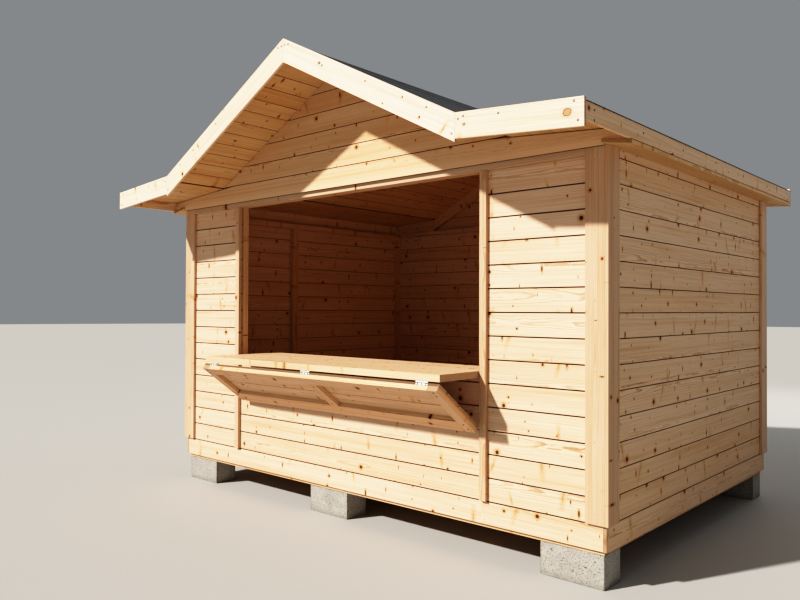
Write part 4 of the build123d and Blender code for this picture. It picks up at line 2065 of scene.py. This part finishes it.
@dataclass
class BackDoor(Assembly):
    """The closed ledged door at the back, its casing and its metalwork."""

    boards: int = 6
    board: float = 0.020
    board_gap: float = 0.0020
    ledge_width: float = 0.110
    ledge_inset: float = 0.030
    ledge_end: float = 0.17
    ledge_nails: float = 0.028
    brace_inset: float = 0.01
    brace_width: float = 0.11
    brace_room: float = 0.0002
    casing_width: float = 0.070
    casing_nails: int = 6
    casing_insets: tuple[float, float] = (0.06, 0.05)

    def build(self) -> None:
        """Build the door, the casing and the metalwork."""
        box = Box(*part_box("back_door"))
        rows = (box.low.z + self.ledge_end, box.middle.z, box.high.z - self.ledge_end)
        pitch = box.size.x / self.boards
        parts = []
        for i in range(self.boards):
            last = i == self.boards - 1
            gap = 0.0 if last else self.board_gap
            middle = Vector((box.low.x + (i + 0.5) * pitch - gap / 2,
                             box.high.y - self.board / 2, box.middle.z))
            parts.append(self.timber.tongued((box.size.z, pitch - gap, self.board),
                                             Lay(middle, -Z, X), Joint.at(i == 0, last)))
        for z in rows:
            middle = Vector((box.middle.x, box.low.y + self.board / 2, z))
            parts.append(self.timber.planed(
                (box.size.x - 2 * self.ledge_inset, self.ledge_width, self.board),
                Lay(middle, X, Z)))
        parts += self.braces(box, rows)
        self.fit("back_door_leaf", parts, "back_door", self.finishes.boarding)
        self.casing()
        self.dress("door_hardware")
        for z in rows:
            for i in range(self.boards):
                x = box.low.x + (i + 0.5) * pitch
                for rise in (-self.ledge_nails, self.ledge_nails):
                    self.fixings.drive(Head.NAIL, Vector((x, box.high.y, z + rise)), Y)

    def braces(self, box: Box, rows: Sequence[float]) -> list[Piece]:
        """Two braces that rise from the hinge side between the ledges.

        Args:
            box: The door's box.
            rows: Heights of the ledges.

        Returns:
            The braces in their places.
        """
        half = self.ledge_width / 2
        inset = self.ledge_inset + self.brace_inset
        hinge_side, lock_side = box.high.x - inset, box.low.x + inset
        depth = (box.low.y, box.low.y + self.board - self.brace_room)
        braces = []
        for low, high in zip(rows, rows[1:]):
            foot, top = low + half, high - half
            outline = [(hinge_side, foot), (hinge_side - self.brace_width, foot),
                       (lock_side, top), (lock_side + self.brace_width, top)]
            along = Vector((outline[2][0] - outline[1][0], 0, top - foot)).normalized()
            braces.append(self.timber.sawn(outline, depth, along))
        return braces

    def casing(self) -> None:
        """Two nailed uprights and a head."""
        box = Box(*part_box("door_casing"))
        under = box.high.z - self.casing_width
        left, right = box.low.x + self.casing_width, box.high.x - self.casing_width
        uprights = [Box(box.low, Vector((left, box.high.y, under))),
                    Box(Vector((right, box.low.y, box.low.z)),
                        Vector((box.high.x, box.high.y, under)))]
        head = Box(Vector((box.low.x, box.low.y, under)), box.high)
        self.fit("door_casing_boards", [self.timber.from_box(b) for b in (*uprights, head)],
                 "door_casing", self.finishes.planed)
        foot_inset, top_inset = self.casing_insets
        for upright in uprights:
            x, y = upright.middle.x, box.high.y
            self.fixings.row(Vector((x, y, upright.low.z + foot_inset)),
                             Vector((x, y, upright.high.z - top_inset)), self.casing_nails, Y)


@dataclass
class Studio:
    """Pale floor, soft light and the camera at the photograph's angle."""

    camera_at: Vector = field(default_factory=lambda: Vector((3.7514, -4.7567, 1.4829)))
    yaw: float = 0.7309
    pitch: float = 0.0127
    roll: float = 0.0037
    focal_pixels: float = 734.6037
    image_width: int = 800
    sensor: float = 36.0
    far: float = 200.0
    key_side: float = math.radians(25.5)
    key_height: float = math.radians(35.0)
    key_spread: float = math.radians(2.2)
    key_power: float = 6.7
    key_colour: Colour = (1.0, 0.975, 0.94)
    key_distance: float = 10.0
    rim_at: Vector = field(default_factory=lambda: Vector((1.0, 9.0, 5.0)))
    rim_target: Vector = field(default_factory=lambda: Vector((0.0, 1.5, 1.2)))
    rim_size: float = 5.0
    rim_power: float = 190.0
    rim_colour: Colour = (0.98, 0.99, 1.0)
    sky_colour: Colour = (0.93, 0.97, 1.0)
    sky_strength: float = 0.287
    floor_radius: float = 70.0
    floor_sides: int = 96
    brightest: float = 2.5
    tones: tuple[tuple[float, float], ...] = (
        (0.016, 0.005), (0.05, 0.023), (0.10, 0.064), (0.20, 0.165), (0.35, 0.322),
        (0.55, 0.545), (0.85, 0.770), (1.15, 0.895), (1.60, 0.968))

    def build(self) -> None:
        """Set everything up round the stall."""
        self.floor()
        self.world()
        self.key()
        self.rim()
        self.camera()
        self.develop()

    def develop(self) -> None:
        """Give the picture the tone curve of a print: a soft foot and a long shoulder."""
        view = bpy.context.scene.view_settings
        view.view_transform = "Standard"
        view.look = "None"
        view.use_curve_mapping = True
        mapping = view.curve_mapping
        mapping.white_level = (self.brightest,) * 3
        curve = mapping.curves[3]
        for light, shown in self.tones:
            curve.points.new(light / self.brightest, shown)
        mapping.update()

    def floor(self) -> None:
        """A wide floor disc at the stall's feet."""
        bpy.ops.object.select_all(action="DESELECT")
        bpy.ops.mesh.primitive_circle_add(vertices=self.floor_sides, radius=self.floor_radius,
                                          fill_type="NGON")
        disc = bpy.context.object
        disc.name = "studio_floor"
        disc.data.materials.append(StudioFloor().material())

    def world(self) -> None:
        """Even pale surroundings."""
        world = bpy.data.worlds.new("studio")
        world.use_nodes = True
        background = world.node_tree.nodes["Background"]
        background.inputs["Color"].default_value = (*self.sky_colour, 1.0)
        background.inputs["Strength"].default_value = self.sky_strength
        bpy.context.scene.world = world

    @staticmethod
    def light(name: str, kind: str, place: Vector, towards: Vector, power: float,
              colour: Colour) -> bpy.types.Light:
        """Hang a light.

        Args:
            name: Its name.
            kind: Its type, SUN or AREA.
            place: Where it hangs.
            towards: Direction in which it shines.
            power: Its power.
            colour: Its colour.

        Returns:
            The light's data.
        """
        bpy.ops.object.light_add(type=kind, location=place)
        lamp = bpy.context.object
        lamp.name = name
        lamp.rotation_euler = towards.to_track_quat("-Z", "Y").to_euler()
        lamp.data.energy = power
        lamp.data.color = colour
        return lamp.data

    def key(self) -> None:
        """The key light: broad, from high on the left of the serving front."""
        flat = math.cos(self.key_height)
        towards = Vector((math.sin(self.key_side) * flat, math.cos(self.key_side) * flat,
                          -math.sin(self.key_height)))
        lamp = self.light("key", "SUN", -self.key_distance * towards, towards, self.key_power,
                          self.key_colour)
        lamp.angle = self.key_spread

    def rim(self) -> None:
        """A square soft light behind the stall."""
        lamp = self.light("rim", "AREA", self.rim_at, self.rim_target - self.rim_at,
                          self.rim_power, self.rim_colour)
        lamp.shape = "SQUARE"
        lamp.size = self.rim_size

    def camera(self) -> None:
        """The camera that the photograph's straight edges give."""
        flat = math.cos(self.pitch)
        forward = Vector((-math.sin(self.yaw) * flat, math.cos(self.yaw) * flat,
                          math.sin(self.pitch)))
        level = Vector((math.cos(self.yaw), math.sin(self.yaw), 0.0))
        upright = level.cross(forward)
        right = level * math.cos(self.roll) + upright * math.sin(self.roll)
        up = upright * math.cos(self.roll) - level * math.sin(self.roll)
        bpy.ops.object.camera_add(location=self.camera_at)
        camera = bpy.context.object
        camera.name = "photo_camera"
        camera.rotation_euler = Matrix((right, up, -forward)).transposed().to_euler()
        camera.data.sensor_width = self.sensor
        camera.data.lens = self.focal_pixels * self.sensor / self.image_width
        camera.data.clip_end = self.far
        bpy.context.scene.camera = camera


def main() -> None:
    """Build the stall from the ground up and set up the studio."""
    logging.basicConfig(level=logging.INFO, format="%(name)s %(message)s")
    finishes, timber, fixings = Finishes(), Timber(), Fixings()
    shared = (timber, finishes, fixings, RoofLine.measured())
    panel = PropPanel(*shared)
    for part in (GroundBlocks(*shared), Floor(*shared), BoardedWalls(*shared),
                 WallFrame(*shared), Gables(*shared), RoofDeck(*shared), RoofEdges(*shared),
                 Trims(*shared), Counter(*shared), panel, Hinges(*shared, panel),
                 BackDoor(*shared)):
        log.info("building %s", type(part).__name__)
        part.build()
    fixings.fit({Head.NAIL: finishes.nails, Head.SCREW: finishes.screws})
    timber.clear()
    Studio().build()


if __name__ == "__main__":
    main()
